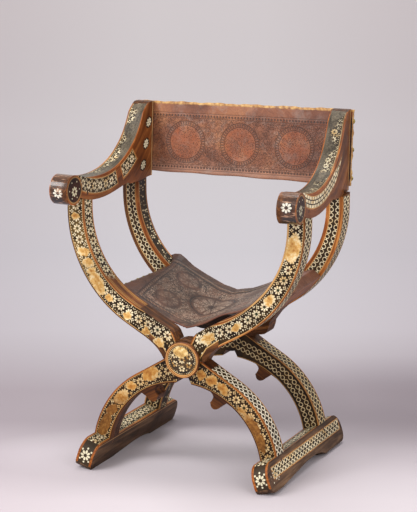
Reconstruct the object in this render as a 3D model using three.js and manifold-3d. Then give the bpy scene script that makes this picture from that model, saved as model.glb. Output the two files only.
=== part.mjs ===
// Hip-joint armchair: two crossed frames of sawn curved members that turn on a
// pair of hip pins, joined front to back by arms, seat rails and runners.
// Millimetres. X is the sitter's right-to-left width, seen from the front as
// left to right; Y runs from front to back; Z is up. The chair stands on Z = 0.
import * as THREE from 'three';
import { mergeVertices } from 'three/addons/utils/BufferGeometryUtils.js';
import Module from 'manifold-3d';

const wasm = await Module();
wasm.setup();

// Driving dimensions of the crossed frames
const PLANK_THICKNESS = 50;
const FRONT_FACE_Y = -176;
const FRAME_DEPTH = 346;
const UPPER_OUTER_RADIUS = 331;
const UPPER_BREADTH = 66;
const UPPER_ABOVE_HIP = 36;
const UPPER_CENTRE_OFFSET = 19;
const BACK_TOE_IN = 11;
const LOWER_CENTRE_HEIGHT = 28;
const LOWER_OUTER_RADIUS = 266;
const LOWER_BREADTH = 48;
const LOWER_BELOW_HIP = 16;

// Hip joint, where each member is halved to a round disc
const HUB_RADIUS = 50;
const HUB_CLEARANCE = 0.7;
const HALVING_GAP = 0.4;
const SHOULDER_RADIUS = 78;
const SHOULDER_CHAMFER = 5;
const SHOULDER_ANGLE = THREE.MathUtils.degToRad(25);
const LOWER_WALL_ANGLE = THREE.MathUtils.degToRad(15.7);
const LOWER_CORNER_ANGLE = THREE.MathUtils.degToRad(18.7);
const LOWER_CORNER_RADIUS = 68.6;
const NOTCH_REACH = 57;
const NOTCH_DROP = 5;
const STOP_GAP = 0.5;

// Fits and overruns
const FIT = 0.3;
const CUT_OVERRUN = 20;
const WELD_DISTANCE = 0.0003;
const ARC_STEP = THREE.MathUtils.degToRad(3);
const SHORT_CURVE_STEPS = 5;
const LONG_CURVE_STEPS = 10;

// Web below each upper curve, next to the hip joint
const WEB_LEAVE_ANGLE = THREE.MathUtils.degToRad(61.3);
const WEB_REACH = 108;
const WEB_RISE = 48;
const webBendShares = [0.65, 0.52];
const BACK_WEB_REACH = 133;
const BACK_WEB_RISE = 66;
const backWebShares = [[0.86, 0.6], [0.84, 0.4], [0.77, 0.13], [0.56, 0.06]];

// Top edge of each lower curve, where it leaves the notch
const LOWER_LEAVE_ANGLE = THREE.MathUtils.degToRad(60);
const LOWER_LEAVE_LENGTH = 40;
const LEG_END_ANGLE = THREE.MathUtils.degToRad(11.8);

// Carved bracket under each lower curve
const BRACKET_START_ANGLE = THREE.MathUtils.degToRad(51);
const BRACKET_SPAN_ANGLE = THREE.MathUtils.degToRad(19);
const BRACKET_DEPTH = 37;
const bracketStepShares = [[0.25, 0.05], [0.37, 0.5]];
const bracketLobeShares = [[0.37, 0.5], [0.4, 0.76], [0.53, 1], [0.7, 1], [0.84, 0.73]];
const bracketNeckShares = [[0.84, 0.73], [0.8, 0.42], [0.83, 0.16], [0.98, 0]];

// Arms with their scrolls and back posts
const ARM_RISE = 60;
const SCROLL_RADIUS = 39;
const SCROLL_REACH = 43.5;
const SCROLL_RELIEF = 2;
const POST_HEIGHT_LEFT = 180;
const POST_HEIGHT_RIGHT = 190;
const POST_SETBACK = 16;
const POST_TOE_IN = 21;
const POST_LEAN = 12;
const POST_TOP_DEPTH = 22;
const POST_TOP_ROUND = 9;
const ARM_DEPTH = 60;
const ARM_HEEL_CORNERS = 4;
const armTopShares = [
  [0.077, 0.184], [0.148, 0.139], [0.269, 0.11], [0.391, 0.113], [0.517, 0.16],
  [0.644, 0.27], [0.747, 0.428], [0.8, 0.545], [0.842, 0.67], [0.872, 0.78], [0.897, 0.875],
];
const armUnderShares = [
  [0.96, 0.38], [0.83, 0.47], [0.715, 0.47], [0.685, 0.39], [0.64, 0.42], [0.56, 0.52],
  [0.46, 0.63], [0.36, 0.69], [0.26, 0.68], [0.17, 0.6], [0.1, 0.47], [0.075, 0.36],
];

// Runners that the legs stand on
const RUNNER_CANT = THREE.MathUtils.degToRad(18);
const RUNNER_DEPTH = 77;
const RUNNER_WIDTH = 46;
const RUNNER_NOSE_REACH = 77;
const RUNNER_HEEL_REACH = 90;
const RUNNER_NOSE_RADIUS = 38;
const RUNNER_HEEL_RADIUS = 42;
const RUNNER_TOE_ROUND = 24;
const RUNNER_ARCH_RISE = 16;
const runnerArchShares = [[0.13, 0], [0.2, 0.22], [0.34, 0.62], [0.5, 1], [0.6, 0.98], [0.68, 0.6], [0.72, 0]];

// Tenons and pegs
const TENON_THICKNESS = 18;
const TENON_WIDTH = 32;
const TENON_LENGTH = 28;
const PEG_RADIUS = 4.5;
const ARM_PEG_SHARE = 0.75;
const RUNNER_PEG_SHARE = 0.25;
const PEG_SEGMENTS = 16;

// Seat rails: boards along the outer edges of the upper curves, the left one lower down its curve
const RAIL_ANGLE_LEFT = THREE.MathUtils.degToRad(49);
const RAIL_ANGLE_RIGHT = THREE.MathUtils.degToRad(39);
const RAIL_THICKNESS = 26;
const RAIL_WIDTH = 48;
const RAIL_INSET = 2;
const RAIL_TENON_LENGTH = 16;
const RAIL_TENON_MARGIN = 6;

// Hip pins, their washers and the round bosses that cover them
const PIN_RADIUS = 8;
const PIN_RUNNING_CLEARANCE = 0.5;
const PIN_HEAD_RADIUS = 15;
const PIN_HEAD_DEPTH = 4;
const PIN_BURR_RADIUS = 11;
const PIN_BURR_LENGTH = 3;
const WASHER_RADIUS = 18;
const WASHER_THICKNESS = 2.5;
const BOSS_INSET = 2.5;
const BOSS_THICKNESS = 12;
const BOSS_RIM_WIDTH = 5;
const BOSS_FIELD_DEPTH = 2;
const ROUND_SEGMENTS = 48;

// Leather seat and back
const LEATHER_THICKNESS = 4;
const SEAT_FRONT_LOW_X = -18;
const SEAT_FRONT_LOW_RISE = 66;
const SEAT_BACK_LOW_X = -2;
const SEAT_BACK_LOW_RISE = 104;
const SEAT_FRONT_SETBACK = 58;
const SEAT_BACK_REACH = 7;
const SEAT_LIFT = 0.8;
const SEAT_NECK_X = 200;
const SEAT_NECK_LENGTH = 14;
const SEAT_CURL = 30;
const SEAT_CURL_X = 130;
const SEAT_ROWS = 9;
const SEAT_COLUMNS = 32;
const SEAT_FOLD_COLUMNS = 1;
const seatFrontShares = [[0, 0], [0.24, 0.14], [0.5, 0.36], [0.75, 0.66], [1, 1]];
const seatBackLeftShares = [[0, 0], [0.2, 0.22], [0.57, 0.92], [0.72, 1.2], [0.85, 1.32], [1, 1]];
const seatBackRightShares = [[0, 0], [0.2, 0.12], [0.41, 0.35], [0.75, 0.84], [1, 1]];
const BACK_LEATHER_DROP = 12;
const BACK_LEATHER_OVERHANG = 6;
const BACK_LEATHER_BULGE = 5;
const BACK_ROWS = 6;
const BACK_COLUMNS = 24;

// Domed studs that hold the back leather to the posts
const STUD_RADIUS = 10;
const STUD_HEIGHT = 8;
const STUD_SEGMENTS = 16;
const STUD_INSET = 3;
const studHeightShares = [0.1, 0.47, 0.84];

// Sizes that follow from the driving dimensions
const BACK_FACE_Y = FRONT_FACE_Y + FRAME_DEPTH;
const SCROLL_Y = FRONT_FACE_Y - SCROLL_REACH;
const POST_FOOT_Y = BACK_FACE_Y + POST_SETBACK;
const RUNNER_FRONT_Y = FRONT_FACE_Y - RUNNER_NOSE_REACH;
const RUNNER_BACK_Y = BACK_FACE_Y + RUNNER_HEEL_REACH;
const SEAT_FRONT_EDGE_Y = FRONT_FACE_Y + SEAT_FRONT_SETBACK;
const SEAT_BACK_EDGE_Y = BACK_FACE_Y + SEAT_BACK_REACH;
const BOSS_RADIUS = HUB_RADIUS - BOSS_INSET;
const PIVOT_HEIGHT = LOWER_CENTRE_HEIGHT + LOWER_OUTER_RADIUS + LOWER_BELOW_HIP;
const LOWER_INNER_RADIUS = LOWER_OUTER_RADIUS - LOWER_BREADTH;
const UPPER_CENTRE_HEIGHT = PIVOT_HEIGHT + UPPER_ABOVE_HIP + UPPER_OUTER_RADIUS;
const UPPER_INNER_RADIUS = UPPER_OUTER_RADIUS - UPPER_BREADTH;
const ARM_HEIGHT = UPPER_CENTRE_HEIGHT + ARM_RISE;
const POST_TOP_HEIGHT_LEFT = ARM_HEIGHT + POST_HEIGHT_LEFT;
const POST_TOP_HEIGHT_RIGHT = ARM_HEIGHT + POST_HEIGHT_RIGHT;
const SEAT_FRONT_LOW_HEIGHT = PIVOT_HEIGHT + SEAT_FRONT_LOW_RISE;
const SEAT_BACK_LOW_HEIGHT = PIVOT_HEIGHT + SEAT_BACK_LOW_RISE;
const BACK_LEATHER_BOTTOM = ARM_HEIGHT - BACK_LEATHER_DROP;
const UPPER_SIDE_INNER = UPPER_CENTRE_OFFSET + UPPER_INNER_RADIUS;
const ARM_THICKNESS = UPPER_OUTER_RADIUS - UPPER_SIDE_INNER;
const FRONT_MID_Y = FRONT_FACE_Y + PLANK_THICKNESS / 2;
const BACK_MID_Y = BACK_FACE_Y - PLANK_THICKNESS / 2;
const TOP_CENTRE_X = (UPPER_OUTER_RADIUS + UPPER_SIDE_INNER) / 2;
const TOE_ANGLE = Math.atan2(POST_TOE_IN, POST_FOOT_Y - FRONT_MID_Y);
const POST_TOP_Y = POST_FOOT_Y + POST_LEAN;
const LEAN_ANGLE = Math.atan2(POST_LEAN, POST_HEIGHT_LEFT);

const sides = [
  { name: 'left', across: 'right', facing: -1, angle: RAIL_ANGLE_LEFT, postTop: POST_TOP_HEIGHT_LEFT },
  { name: 'right', across: 'left', facing: 1, angle: RAIL_ANGLE_RIGHT, postTop: POST_TOP_HEIGHT_RIGHT },
];

const finishes = {
  inlaidWalnut: { color: 0x4a3524, roughness: 0.5, metalness: 0 },
  walnut: { color: 0x7a4a28, roughness: 0.55, metalness: 0 },
  armWalnut: { color: 0x6b4a30, roughness: 0.5, metalness: 0 },
  pegWood: { color: 0x5a3a22, roughness: 0.65, metalness: 0 },
  bossInlay: { color: 0x8a6a42, roughness: 0.5, metalness: 0 },
  iron: { color: 0x3b3a38, roughness: 0.6, metalness: 0.8 },
  brass: { color: 0x8d7a46, roughness: 0.35, metalness: 0.9 },
  seatLeather: { color: 0x5a4a44, roughness: 0.65, metalness: 0 },
  backLeather: { color: 0x7b4a3c, roughness: 0.6, metalness: 0 },
};

function finish(name) {
  return new THREE.MeshStandardMaterial(finishes[name]);
}

// Turns a closed geometry into a solid that can be joined and cut
function solidOf(geometry) {
  const bare = geometry.clone();
  bare.deleteAttribute('normal');
  bare.deleteAttribute('uv');
  const merged = mergeVertices(bare, WELD_DISTANCE);
  return new wasm.Manifold(new wasm.Mesh({
    numProp: 3,
    vertProperties: new Float32Array(merged.attributes.position.array),
    triVerts: new Uint32Array(merged.index.array),
  }));
}

function geometryOf(solid) {
  const mesh = solid.getMesh();
  const geometry = new THREE.BufferGeometry();
  geometry.setAttribute('position', new THREE.BufferAttribute(mesh.vertProperties, 3));
  geometry.setIndex(new THREE.BufferAttribute(mesh.triVerts, 1));
  geometry.computeVertexNormals();
  return geometry;
}

function named(name, geometry, finishName) {
  const mesh = new THREE.Mesh(geometry, finish(finishName));
  mesh.name = name;
  return mesh;
}

// A shape drawn in X and Z, thickened along Y from yStart to yEnd
function plank(shape, yStart, yEnd) {
  const geometry = new THREE.ExtrudeGeometry(shape, { depth: yEnd - yStart, bevelEnabled: false });
  geometry.rotateX(Math.PI / 2);
  geometry.translate(0, yEnd, 0);
  return geometry;
}

// A shape drawn in Y and Z, thickened along X and centred on X = 0
function board(shape, thickness) {
  const geometry = new THREE.ExtrudeGeometry(shape, { depth: thickness, bevelEnabled: false });
  const axes = new THREE.Matrix4().makeBasis(
    new THREE.Vector3(0, 1, 0), new THREE.Vector3(0, 0, 1), new THREE.Vector3(1, 0, 0),
  );
  geometry.applyMatrix4(axes);
  geometry.translate(-thickness / 2, 0, 0);
  return geometry;
}

function cylinderAlongY(radius, yStart, yEnd, x, z, segments = ROUND_SEGMENTS) {
  const geometry = new THREE.CylinderGeometry(radius, radius, yEnd - yStart, segments);
  geometry.translate(x, (yStart + yEnd) / 2, z);
  return geometry;
}

function boxBetween(low, high) {
  const geometry = new THREE.BoxGeometry(high[0] - low[0], high[1] - low[1], high[2] - low[2]);
  geometry.translate((low[0] + high[0]) / 2, (low[1] + high[1]) / 2, (low[2] + high[2]) / 2);
  return geometry;
}

function onCircle(centre, radius, angle) {
  return new THREE.Vector2(centre.x + radius * Math.cos(angle), centre.y + radius * Math.sin(angle));
}

function arcPoints(centre, radius, from, to) {
  const steps = Math.max(1, Math.round(Math.abs(to - from) / ARC_STEP));
  const points = [];
  for (let i = 0; i <= steps; i += 1) {
    points.push(onCircle(centre, radius, from + ((to - from) * i) / steps));
  }
  return points;
}

function angleOf(point, centre) {
  return Math.atan2(point.y - centre.y, point.x - centre.x);
}

// Angle on a circle of the tangent drawn to it from a point outside, on its far side in turning direction
function tangentAngle(point, centre, radius, turn) {
  const reach = point.distanceTo(centre);
  return angleOf(point, centre) + turn * Math.acos(radius / reach);
}

// One curve of a crossing member, drawn outwards (u) from the hip pin
function upperCurve(toe, isBack) {
  const hip = new THREE.Vector2(0, PIVOT_HEIGHT);
  const innerCentre = new THREE.Vector2(UPPER_CENTRE_OFFSET, UPPER_CENTRE_HEIGHT);
  const outerCentre = new THREE.Vector2(0, UPPER_CENTRE_HEIGHT);
  const innerRadius = UPPER_INNER_RADIUS - toe;
  const outerRadius = UPPER_OUTER_RADIUS - toe;
  const wall = Math.PI / 2 - SHOULDER_ANGLE;
  const shoulder = onCircle(hip, SHOULDER_RADIUS, wall);
  const below = onCircle(hip, SHOULDER_RADIUS - SHOULDER_CHAMFER, wall);
  const tangent = tangentAngle(shoulder, innerCentre, innerRadius, 1);
  const touch = onCircle(innerCentre, innerRadius, tangent);
  const chamfered = shoulder.clone().lerp(touch, SHOULDER_CHAMFER / shoulder.distanceTo(touch));
  const notch = new THREE.Vector2(NOTCH_REACH, PIVOT_HEIGHT - NOTCH_DROP + STOP_GAP / 2);
  const top = ARM_HEIGHT;
  return [
    onCircle(hip, HUB_RADIUS / 2, wall),
    below,
    chamfered,
    ...arcPoints(innerCentre, innerRadius, tangent, 0),
    new THREE.Vector2(innerCentre.x + innerRadius, top),
    new THREE.Vector2(outerRadius, top),
    ...arcPoints(outerCentre, outerRadius, 0, -WEB_LEAVE_ANGLE),
    ...(isBack ? backWeb(notch) : frontWeb(notch)),
    new THREE.Vector2(HUB_RADIUS / 2, notch.y),
  ];
}

// Plain web that closes the corner between an upper curve and the hip joint
function frontWeb(notch) {
  const start = new THREE.Vector2(WEB_REACH, PIVOT_HEIGHT + WEB_RISE);
  const bend = new THREE.Vector2(WEB_REACH * webBendShares[0], PIVOT_HEIGHT + WEB_RISE * webBendShares[1]);
  return new THREE.QuadraticBezierCurve(start, bend, notch).getPoints(SHORT_CURVE_STEPS);
}

// Web with a hanging lobe, on the back frame
function backWeb(notch) {
  const lobe = backWebShares.map(([reach, rise]) => new THREE.Vector2(
    BACK_WEB_REACH * reach,
    PIVOT_HEIGHT + BACK_WEB_RISE * rise,
  ));
  const start = new THREE.Vector2(BACK_WEB_REACH, PIVOT_HEIGHT + BACK_WEB_RISE);
  return [start, ...new THREE.SplineCurve(lobe).getPoints(LONG_CURVE_STEPS), notch];
}

// Point below the lower curve's inner edge, by its share of the bracket's span and depth
function bracketPoint(centre, [spanShare, depthShare]) {
  const angle = BRACKET_START_ANGLE + BRACKET_SPAN_ANGLE * spanShare;
  return onCircle(centre, LOWER_INNER_RADIUS - BRACKET_DEPTH * depthShare, angle);
}

function bracketOutline(centre) {
  const place = (share) => bracketPoint(centre, share);
  return [
    ...bracketStepShares.map(place),
    ...new THREE.SplineCurve(bracketLobeShares.map(place)).getPoints(LONG_CURVE_STEPS).slice(1),
    ...new THREE.SplineCurve(bracketNeckShares.map(place)).getPoints(SHORT_CURVE_STEPS).slice(1),
  ];
}

const lowerCentre = new THREE.Vector2(0, LOWER_CENTRE_HEIGHT);
const legOuterEnd = onCircle(lowerCentre, LOWER_OUTER_RADIUS, LEG_END_ANGLE);
const cantDirection = new THREE.Vector2(Math.cos(RUNNER_CANT), Math.sin(RUNNER_CANT));
const legAxis = new THREE.Vector2(Math.sin(RUNNER_CANT), -Math.cos(RUNNER_CANT));

// Where the canted top of the runner, drawn inwards from the leg's outer end, meets the inner edge
function legInnerEnd() {
  const start = legOuterEnd.clone().sub(lowerCentre);
  const along = start.dot(cantDirection);
  const inside = along * along - start.lengthSq() + LOWER_INNER_RADIUS ** 2;
  return legOuterEnd.clone().addScaledVector(cantDirection, Math.sqrt(inside) - along);
}

// Middle of a leg's canted lower end
function legFoot() {
  return legOuterEnd.clone().lerp(legInnerEnd(), 1 / 2);
}

function lowerCurve() {
  const hip = new THREE.Vector2(0, PIVOT_HEIGHT);
  const notch = new THREE.Vector2(NOTCH_REACH, PIVOT_HEIGHT - NOTCH_DROP - STOP_GAP / 2);
  const leave = onCircle(lowerCentre, LOWER_OUTER_RADIUS, LOWER_LEAVE_ANGLE);
  const alongEdge = new THREE.Vector2(-Math.sin(LOWER_LEAVE_ANGLE), Math.cos(LOWER_LEAVE_ANGLE));
  const bend = leave.clone().addScaledVector(alongEdge, LOWER_LEAVE_LENGTH);
  const innerEnd = legInnerEnd();
  const corner = onCircle(hip, LOWER_CORNER_RADIUS, LOWER_CORNER_ANGLE - Math.PI / 2);
  const cornerAngle = angleOf(corner, lowerCentre);
  const bracketEnd = BRACKET_START_ANGLE + BRACKET_SPAN_ANGLE;
  return [
    new THREE.Vector2(HUB_RADIUS / 2, notch.y),
    ...new THREE.QuadraticBezierCurve(notch, bend, leave).getPoints(SHORT_CURVE_STEPS),
    ...arcPoints(lowerCentre, LOWER_OUTER_RADIUS, LOWER_LEAVE_ANGLE, LEG_END_ANGLE).slice(1),
    innerEnd,
    ...arcPoints(lowerCentre, LOWER_INNER_RADIUS, angleOf(innerEnd, lowerCentre), BRACKET_START_ANGLE).slice(1),
    ...bracketOutline(lowerCentre),
    ...arcPoints(lowerCentre, LOWER_INNER_RADIUS, bracketEnd, cornerAngle).slice(0, -1),
    corner,
    onCircle(hip, HUB_RADIUS + HUB_CLEARANCE, LOWER_WALL_ANGLE - Math.PI / 2),
    onCircle(hip, HUB_RADIUS / 2, LOWER_WALL_ANGLE - Math.PI / 2),
  ];
}

function shapeFacing(points, facing) {
  return new THREE.Shape(points.map((point) => new THREE.Vector2(point.x * facing, point.y)));
}

// Outline of an arm in Y and Z: scroll tangent, sweeping top edge, post and underside
function armOutline(postTop) {
  const reach = POST_FOOT_Y - SCROLL_Y;
  const rise = postTop - ARM_HEIGHT;
  const topEdge = armTopShares.map(([along, up]) => new THREE.Vector2(
    SCROLL_Y + reach * along,
    ARM_HEIGHT + rise * up,
  ));
  const underside = armUnderShares.map(([along, down]) => new THREE.Vector2(
    SCROLL_Y + reach * along,
    ARM_HEIGHT - ARM_DEPTH * down,
  ));
  const topFront = new THREE.Vector2(POST_TOP_Y - POST_TOP_DEPTH, postTop);
  const rounding = new THREE.Vector2(topFront.x - POST_TOP_ROUND, postTop - POST_TOP_ROUND / 2);
  const heel = new THREE.Vector2(POST_FOOT_Y, ARM_HEIGHT - ARM_DEPTH * armUnderShares[0][1]);
  return [
    new THREE.Vector2(SCROLL_Y, ARM_HEIGHT + SCROLL_RADIUS * Math.cos(ARC_STEP)),
    ...new THREE.SplineCurve([...topEdge, rounding]).getPoints(3 * LONG_CURVE_STEPS),
    topFront,
    new THREE.Vector2(POST_TOP_Y, postTop),
    heel,
    ...underside.slice(0, ARM_HEEL_CORNERS),
    ...new THREE.SplineCurve(underside.slice(ARM_HEEL_CORNERS)).getPoints(LONG_CURVE_STEPS),
    new THREE.Vector2(SCROLL_Y, ARM_HEIGHT),
  ];
}

// Places an arm: its scroll centre over the front leg, turned in towards the back
function armPlacement(facing) {
  const frontLegToScroll = FRONT_MID_Y - SCROLL_Y;
  const x = facing * (TOP_CENTRE_X + Math.tan(TOE_ANGLE) * frontLegToScroll);
  const matrix = new THREE.Matrix4().makeTranslation(x, SCROLL_Y, 0);
  matrix.multiply(new THREE.Matrix4().makeRotationZ(facing * TOE_ANGLE));
  matrix.multiply(new THREE.Matrix4().makeTranslation(0, -SCROLL_Y, 0));
  return matrix;
}

function armBody(side, thickness) {
  return solidOf(board(new THREE.Shape(armOutline(side.postTop)), thickness));
}

function scroll() {
  const width = ARM_THICKNESS + 2 * SCROLL_RELIEF;
  const geometry = new THREE.CylinderGeometry(SCROLL_RADIUS, SCROLL_RADIUS, width, ROUND_SEGMENTS);
  geometry.rotateZ(Math.PI / 2);
  geometry.translate(0, SCROLL_Y, ARM_HEIGHT);
  return solidOf(geometry);
}

// Middle of a leg's top, in plan
function legTop(facing, isBack) {
  const x = facing * (TOP_CENTRE_X - (isBack ? BACK_TOE_IN : 0));
  return new THREE.Vector2(x, isBack ? BACK_MID_Y : FRONT_MID_Y);
}

// Tenon on top of a leg, or with growth its mortise in the arm
function armTenon(facing, isBack, growth) {
  const top = legTop(facing, isBack);
  const halfThickness = TENON_THICKNESS / 2 + growth;
  const halfWidth = TENON_WIDTH / 2 + growth;
  const seat = ARM_HEIGHT - ARM_DEPTH;
  const low = [top.x - halfThickness, top.y - halfWidth, seat - growth];
  const high = [top.x + halfThickness, top.y + halfWidth, seat + 2 * TENON_LENGTH + growth];
  return solidOf(boxBetween(low, high));
}

// Peg across an arm and the tenon inside it; growth makes its hole
function armPeg(facing, isBack, growth) {
  const top = legTop(facing, isBack);
  const length = ARM_THICKNESS + growth * CUT_OVERRUN;
  const geometry = new THREE.CylinderGeometry(PEG_RADIUS + growth, PEG_RADIUS + growth, length, PEG_SEGMENTS);
  geometry.rotateZ(Math.PI / 2);
  geometry.rotateZ(facing * TOE_ANGLE);
  geometry.translate(top.x, top.y, ARM_HEIGHT - ARM_DEPTH + 2 * TENON_LENGTH * ARM_PEG_SHARE);
  return geometry;
}

// Tenon on the foot of a leg, or with growth its mortise in the runner
function runnerTenon(facing, midY, growth) {
  const middle = legFoot();
  const length = 2 * TENON_LENGTH + 2 * growth;
  const geometry = new THREE.BoxGeometry(TENON_THICKNESS + 2 * growth, TENON_WIDTH + 2 * growth, length);
  geometry.rotateY(-facing * RUNNER_CANT);
  geometry.translate(facing * middle.x, midY, middle.y);
  return solidOf(geometry);
}

// Peg across a runner and the tenon inside it; growth makes its hole
function runnerPeg(facing, midY, growth) {
  const middle = legFoot().addScaledVector(legAxis, 2 * TENON_LENGTH * RUNNER_PEG_SHARE);
  const radius = PEG_RADIUS + growth;
  const length = RUNNER_WIDTH + growth * CUT_OVERRUN;
  const geometry = new THREE.CylinderGeometry(radius, radius, length, PEG_SEGMENTS);
  geometry.rotateZ(Math.PI / 2);
  geometry.rotateY(-facing * RUNNER_CANT);
  geometry.translate(facing * middle.x, midY, middle.y);
  return geometry;
}

// Point of a seat rail's section, given outwards and upwards along its curve from the rail's middle
function railPoint(rail, outward, upward) {
  const centre = new THREE.Vector2(0, UPPER_CENTRE_HEIGHT);
  const middle = onCircle(centre, UPPER_OUTER_RADIUS - RAIL_INSET - RAIL_THICKNESS / 2, -rail.angle);
  const out = new THREE.Vector2(Math.cos(rail.angle), -Math.sin(rail.angle));
  const up = new THREE.Vector2(Math.sin(rail.angle), Math.cos(rail.angle));
  return middle.addScaledVector(out, outward).addScaledVector(up, upward);
}

// How far a rail moves in from the front frame to the narrower back frame
function railLean(rail) {
  const drop = UPPER_CENTRE_HEIGHT - railPoint(rail, 0, 0).y;
  const reachAt = (radius) => Math.sqrt(radius ** 2 - drop ** 2);
  return reachAt(UPPER_OUTER_RADIUS) - reachAt(UPPER_OUTER_RADIUS - BACK_TOE_IN);
}

function railSection(rail, growth) {
  const halfThickness = RAIL_THICKNESS / 2 + growth;
  const halfWidth = RAIL_WIDTH / 2 + growth;
  return shapeFacing([
    railPoint(rail, -halfThickness, -halfWidth),
    railPoint(rail, halfThickness, -halfWidth),
    railPoint(rail, halfThickness, halfWidth),
    railPoint(rail, -halfThickness, halfWidth),
  ], rail.facing);
}

// Leans a rail inwards towards the back, by the difference between the two frames
function leanRail(geometry, rail) {
  const length = BACK_FACE_Y - FRONT_FACE_Y - 2 * PLANK_THICKNESS;
  const slope = (-rail.facing * railLean(rail)) / length;
  const shear = new THREE.Matrix4().set(1, slope, 0, 0, 0, 1, 0, 0, 0, 0, 1, 0, 0, 0, 0, 1);
  geometry.translate(0, -FRONT_FACE_Y - PLANK_THICKNESS, 0);
  geometry.applyMatrix4(shear);
  geometry.translate(0, FRONT_FACE_Y + PLANK_THICKNESS, 0);
  return geometry;
}

function railBoard(rail) {
  const start = FRONT_FACE_Y + PLANK_THICKNESS + FIT;
  const end = BACK_FACE_Y - PLANK_THICKNESS - FIT;
  return solidOf(leanRail(plank(railSection(rail, 0), start, end), rail));
}

// The tenons at both ends of a rail in one bar; growth makes their mortises
function railTenons(rail, growth) {
  const start = FRONT_FACE_Y + PLANK_THICKNESS - RAIL_TENON_LENGTH - growth;
  const end = BACK_FACE_Y - PLANK_THICKNESS + RAIL_TENON_LENGTH + growth;
  return solidOf(leanRail(plank(railSection(rail, growth - RAIL_TENON_MARGIN), start, end), rail));
}

function seatRail(rail) {
  return geometryOf(railBoard(rail).add(railTenons(rail, 0)));
}

// One crossing member: the upper curve on one side, the lower curve on the other,
// halved over the hip pin. hasFrontDisc says which half of the thickness it keeps there.
function crossingMember(rail, isBack) {
  const { facing } = rail;
  const yStart = isBack ? BACK_FACE_Y - PLANK_THICKNESS : FRONT_FACE_Y;
  const yEnd = yStart + PLANK_THICKNESS;
  const yMid = (yStart + yEnd) / 2;
  const toe = isBack ? BACK_TOE_IN : 0;
  const hasFrontDisc = facing < 0;
  const upper = solidOf(plank(shapeFacing(upperCurve(toe, isBack), facing), yStart, yEnd));
  const lower = solidOf(plank(shapeFacing(lowerCurve(), -facing), yStart, yEnd));
  const discStart = hasFrontDisc ? yStart : yMid + HALVING_GAP / 2;
  const discEnd = hasFrontDisc ? yMid - HALVING_GAP / 2 : yEnd;
  const openStart = hasFrontDisc ? discEnd : yStart - CUT_OVERRUN;
  const openEnd = hasFrontDisc ? yEnd + CUT_OVERRUN : discStart;
  const disc = solidOf(cylinderAlongY(HUB_RADIUS, discStart, discEnd, 0, PIVOT_HEIGHT));
  const open = solidOf(cylinderAlongY(HUB_RADIUS + HUB_CLEARANCE, openStart, openEnd, 0, PIVOT_HEIGHT));
  let solid = upper.subtract(armAbove(rail)).add(lower);
  solid = solid.subtract(open).add(disc);
  solid = solid.add(armTenon(facing, isBack, 0).subtract(belowLegTop()));
  solid = solid.add(runnerTenon(-facing, yMid, 0));
  solid = solid.subtract(solidOf(armPeg(facing, isBack, FIT)));
  solid = solid.subtract(solidOf(runnerPeg(-facing, yMid, FIT)));
  solid = solid.subtract(railTenons(rail, FIT));
  return solid.subtract(pinBore(isBack));
}

// Everything from an arm's underside upwards, wider than the leg
function armAbove(side) {
  const wide = armBody(side, ARM_THICKNESS + 2 * CUT_OVERRUN);
  const cutter = geometryOf(wide);
  cutter.applyMatrix4(armPlacement(side.facing));
  cutter.translate(0, 0, -FIT);
  return solidOf(cutter);
}

// Space below the middle of a leg's top, where its tenon must not stand out
function belowLegTop() {
  const reach = UPPER_OUTER_RADIUS + CUT_OVERRUN;
  const low = [-reach, FRONT_FACE_Y - CUT_OVERRUN, 0];
  const high = [reach, BACK_FACE_Y + CUT_OVERRUN, ARM_HEIGHT - ARM_DEPTH];
  return solidOf(boxBetween(low, high));
}

function pinBore(isBack) {
  const yStart = isBack ? BACK_FACE_Y - PLANK_THICKNESS : FRONT_FACE_Y;
  const radius = PIN_RADIUS + PIN_RUNNING_CLEARANCE;
  const bore = cylinderAlongY(radius, yStart - CUT_OVERRUN, yStart + PLANK_THICKNESS + CUT_OVERRUN, 0, PIVOT_HEIGHT);
  const headRadius = PIN_HEAD_RADIUS + PIN_RUNNING_CLEARANCE;
  const depth = PIN_HEAD_DEPTH + FIT;
  const headStart = isBack ? BACK_FACE_Y - depth : FRONT_FACE_Y - CUT_OVERRUN;
  const headEnd = isBack ? BACK_FACE_Y + CUT_OVERRUN : FRONT_FACE_Y + depth;
  return solidOf(bore).add(solidOf(cylinderAlongY(headRadius, headStart, headEnd, 0, PIVOT_HEIGHT)));
}

// Arm with its scroll, in the chair's own place before it is turned in
function arm(side) {
  const { facing } = side;
  const back = armPlacement(facing).invert();
  let solid = armBody(side, ARM_THICKNESS).add(scroll());
  for (const isBack of [false, true]) {
    for (const cut of [armTenon(facing, isBack, FIT), solidOf(armPeg(facing, isBack, FIT))]) {
      const geometry = geometryOf(cut);
      geometry.applyMatrix4(back);
      solid = solid.subtract(solidOf(geometry));
    }
  }
  return geometryOf(solid);
}

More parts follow.
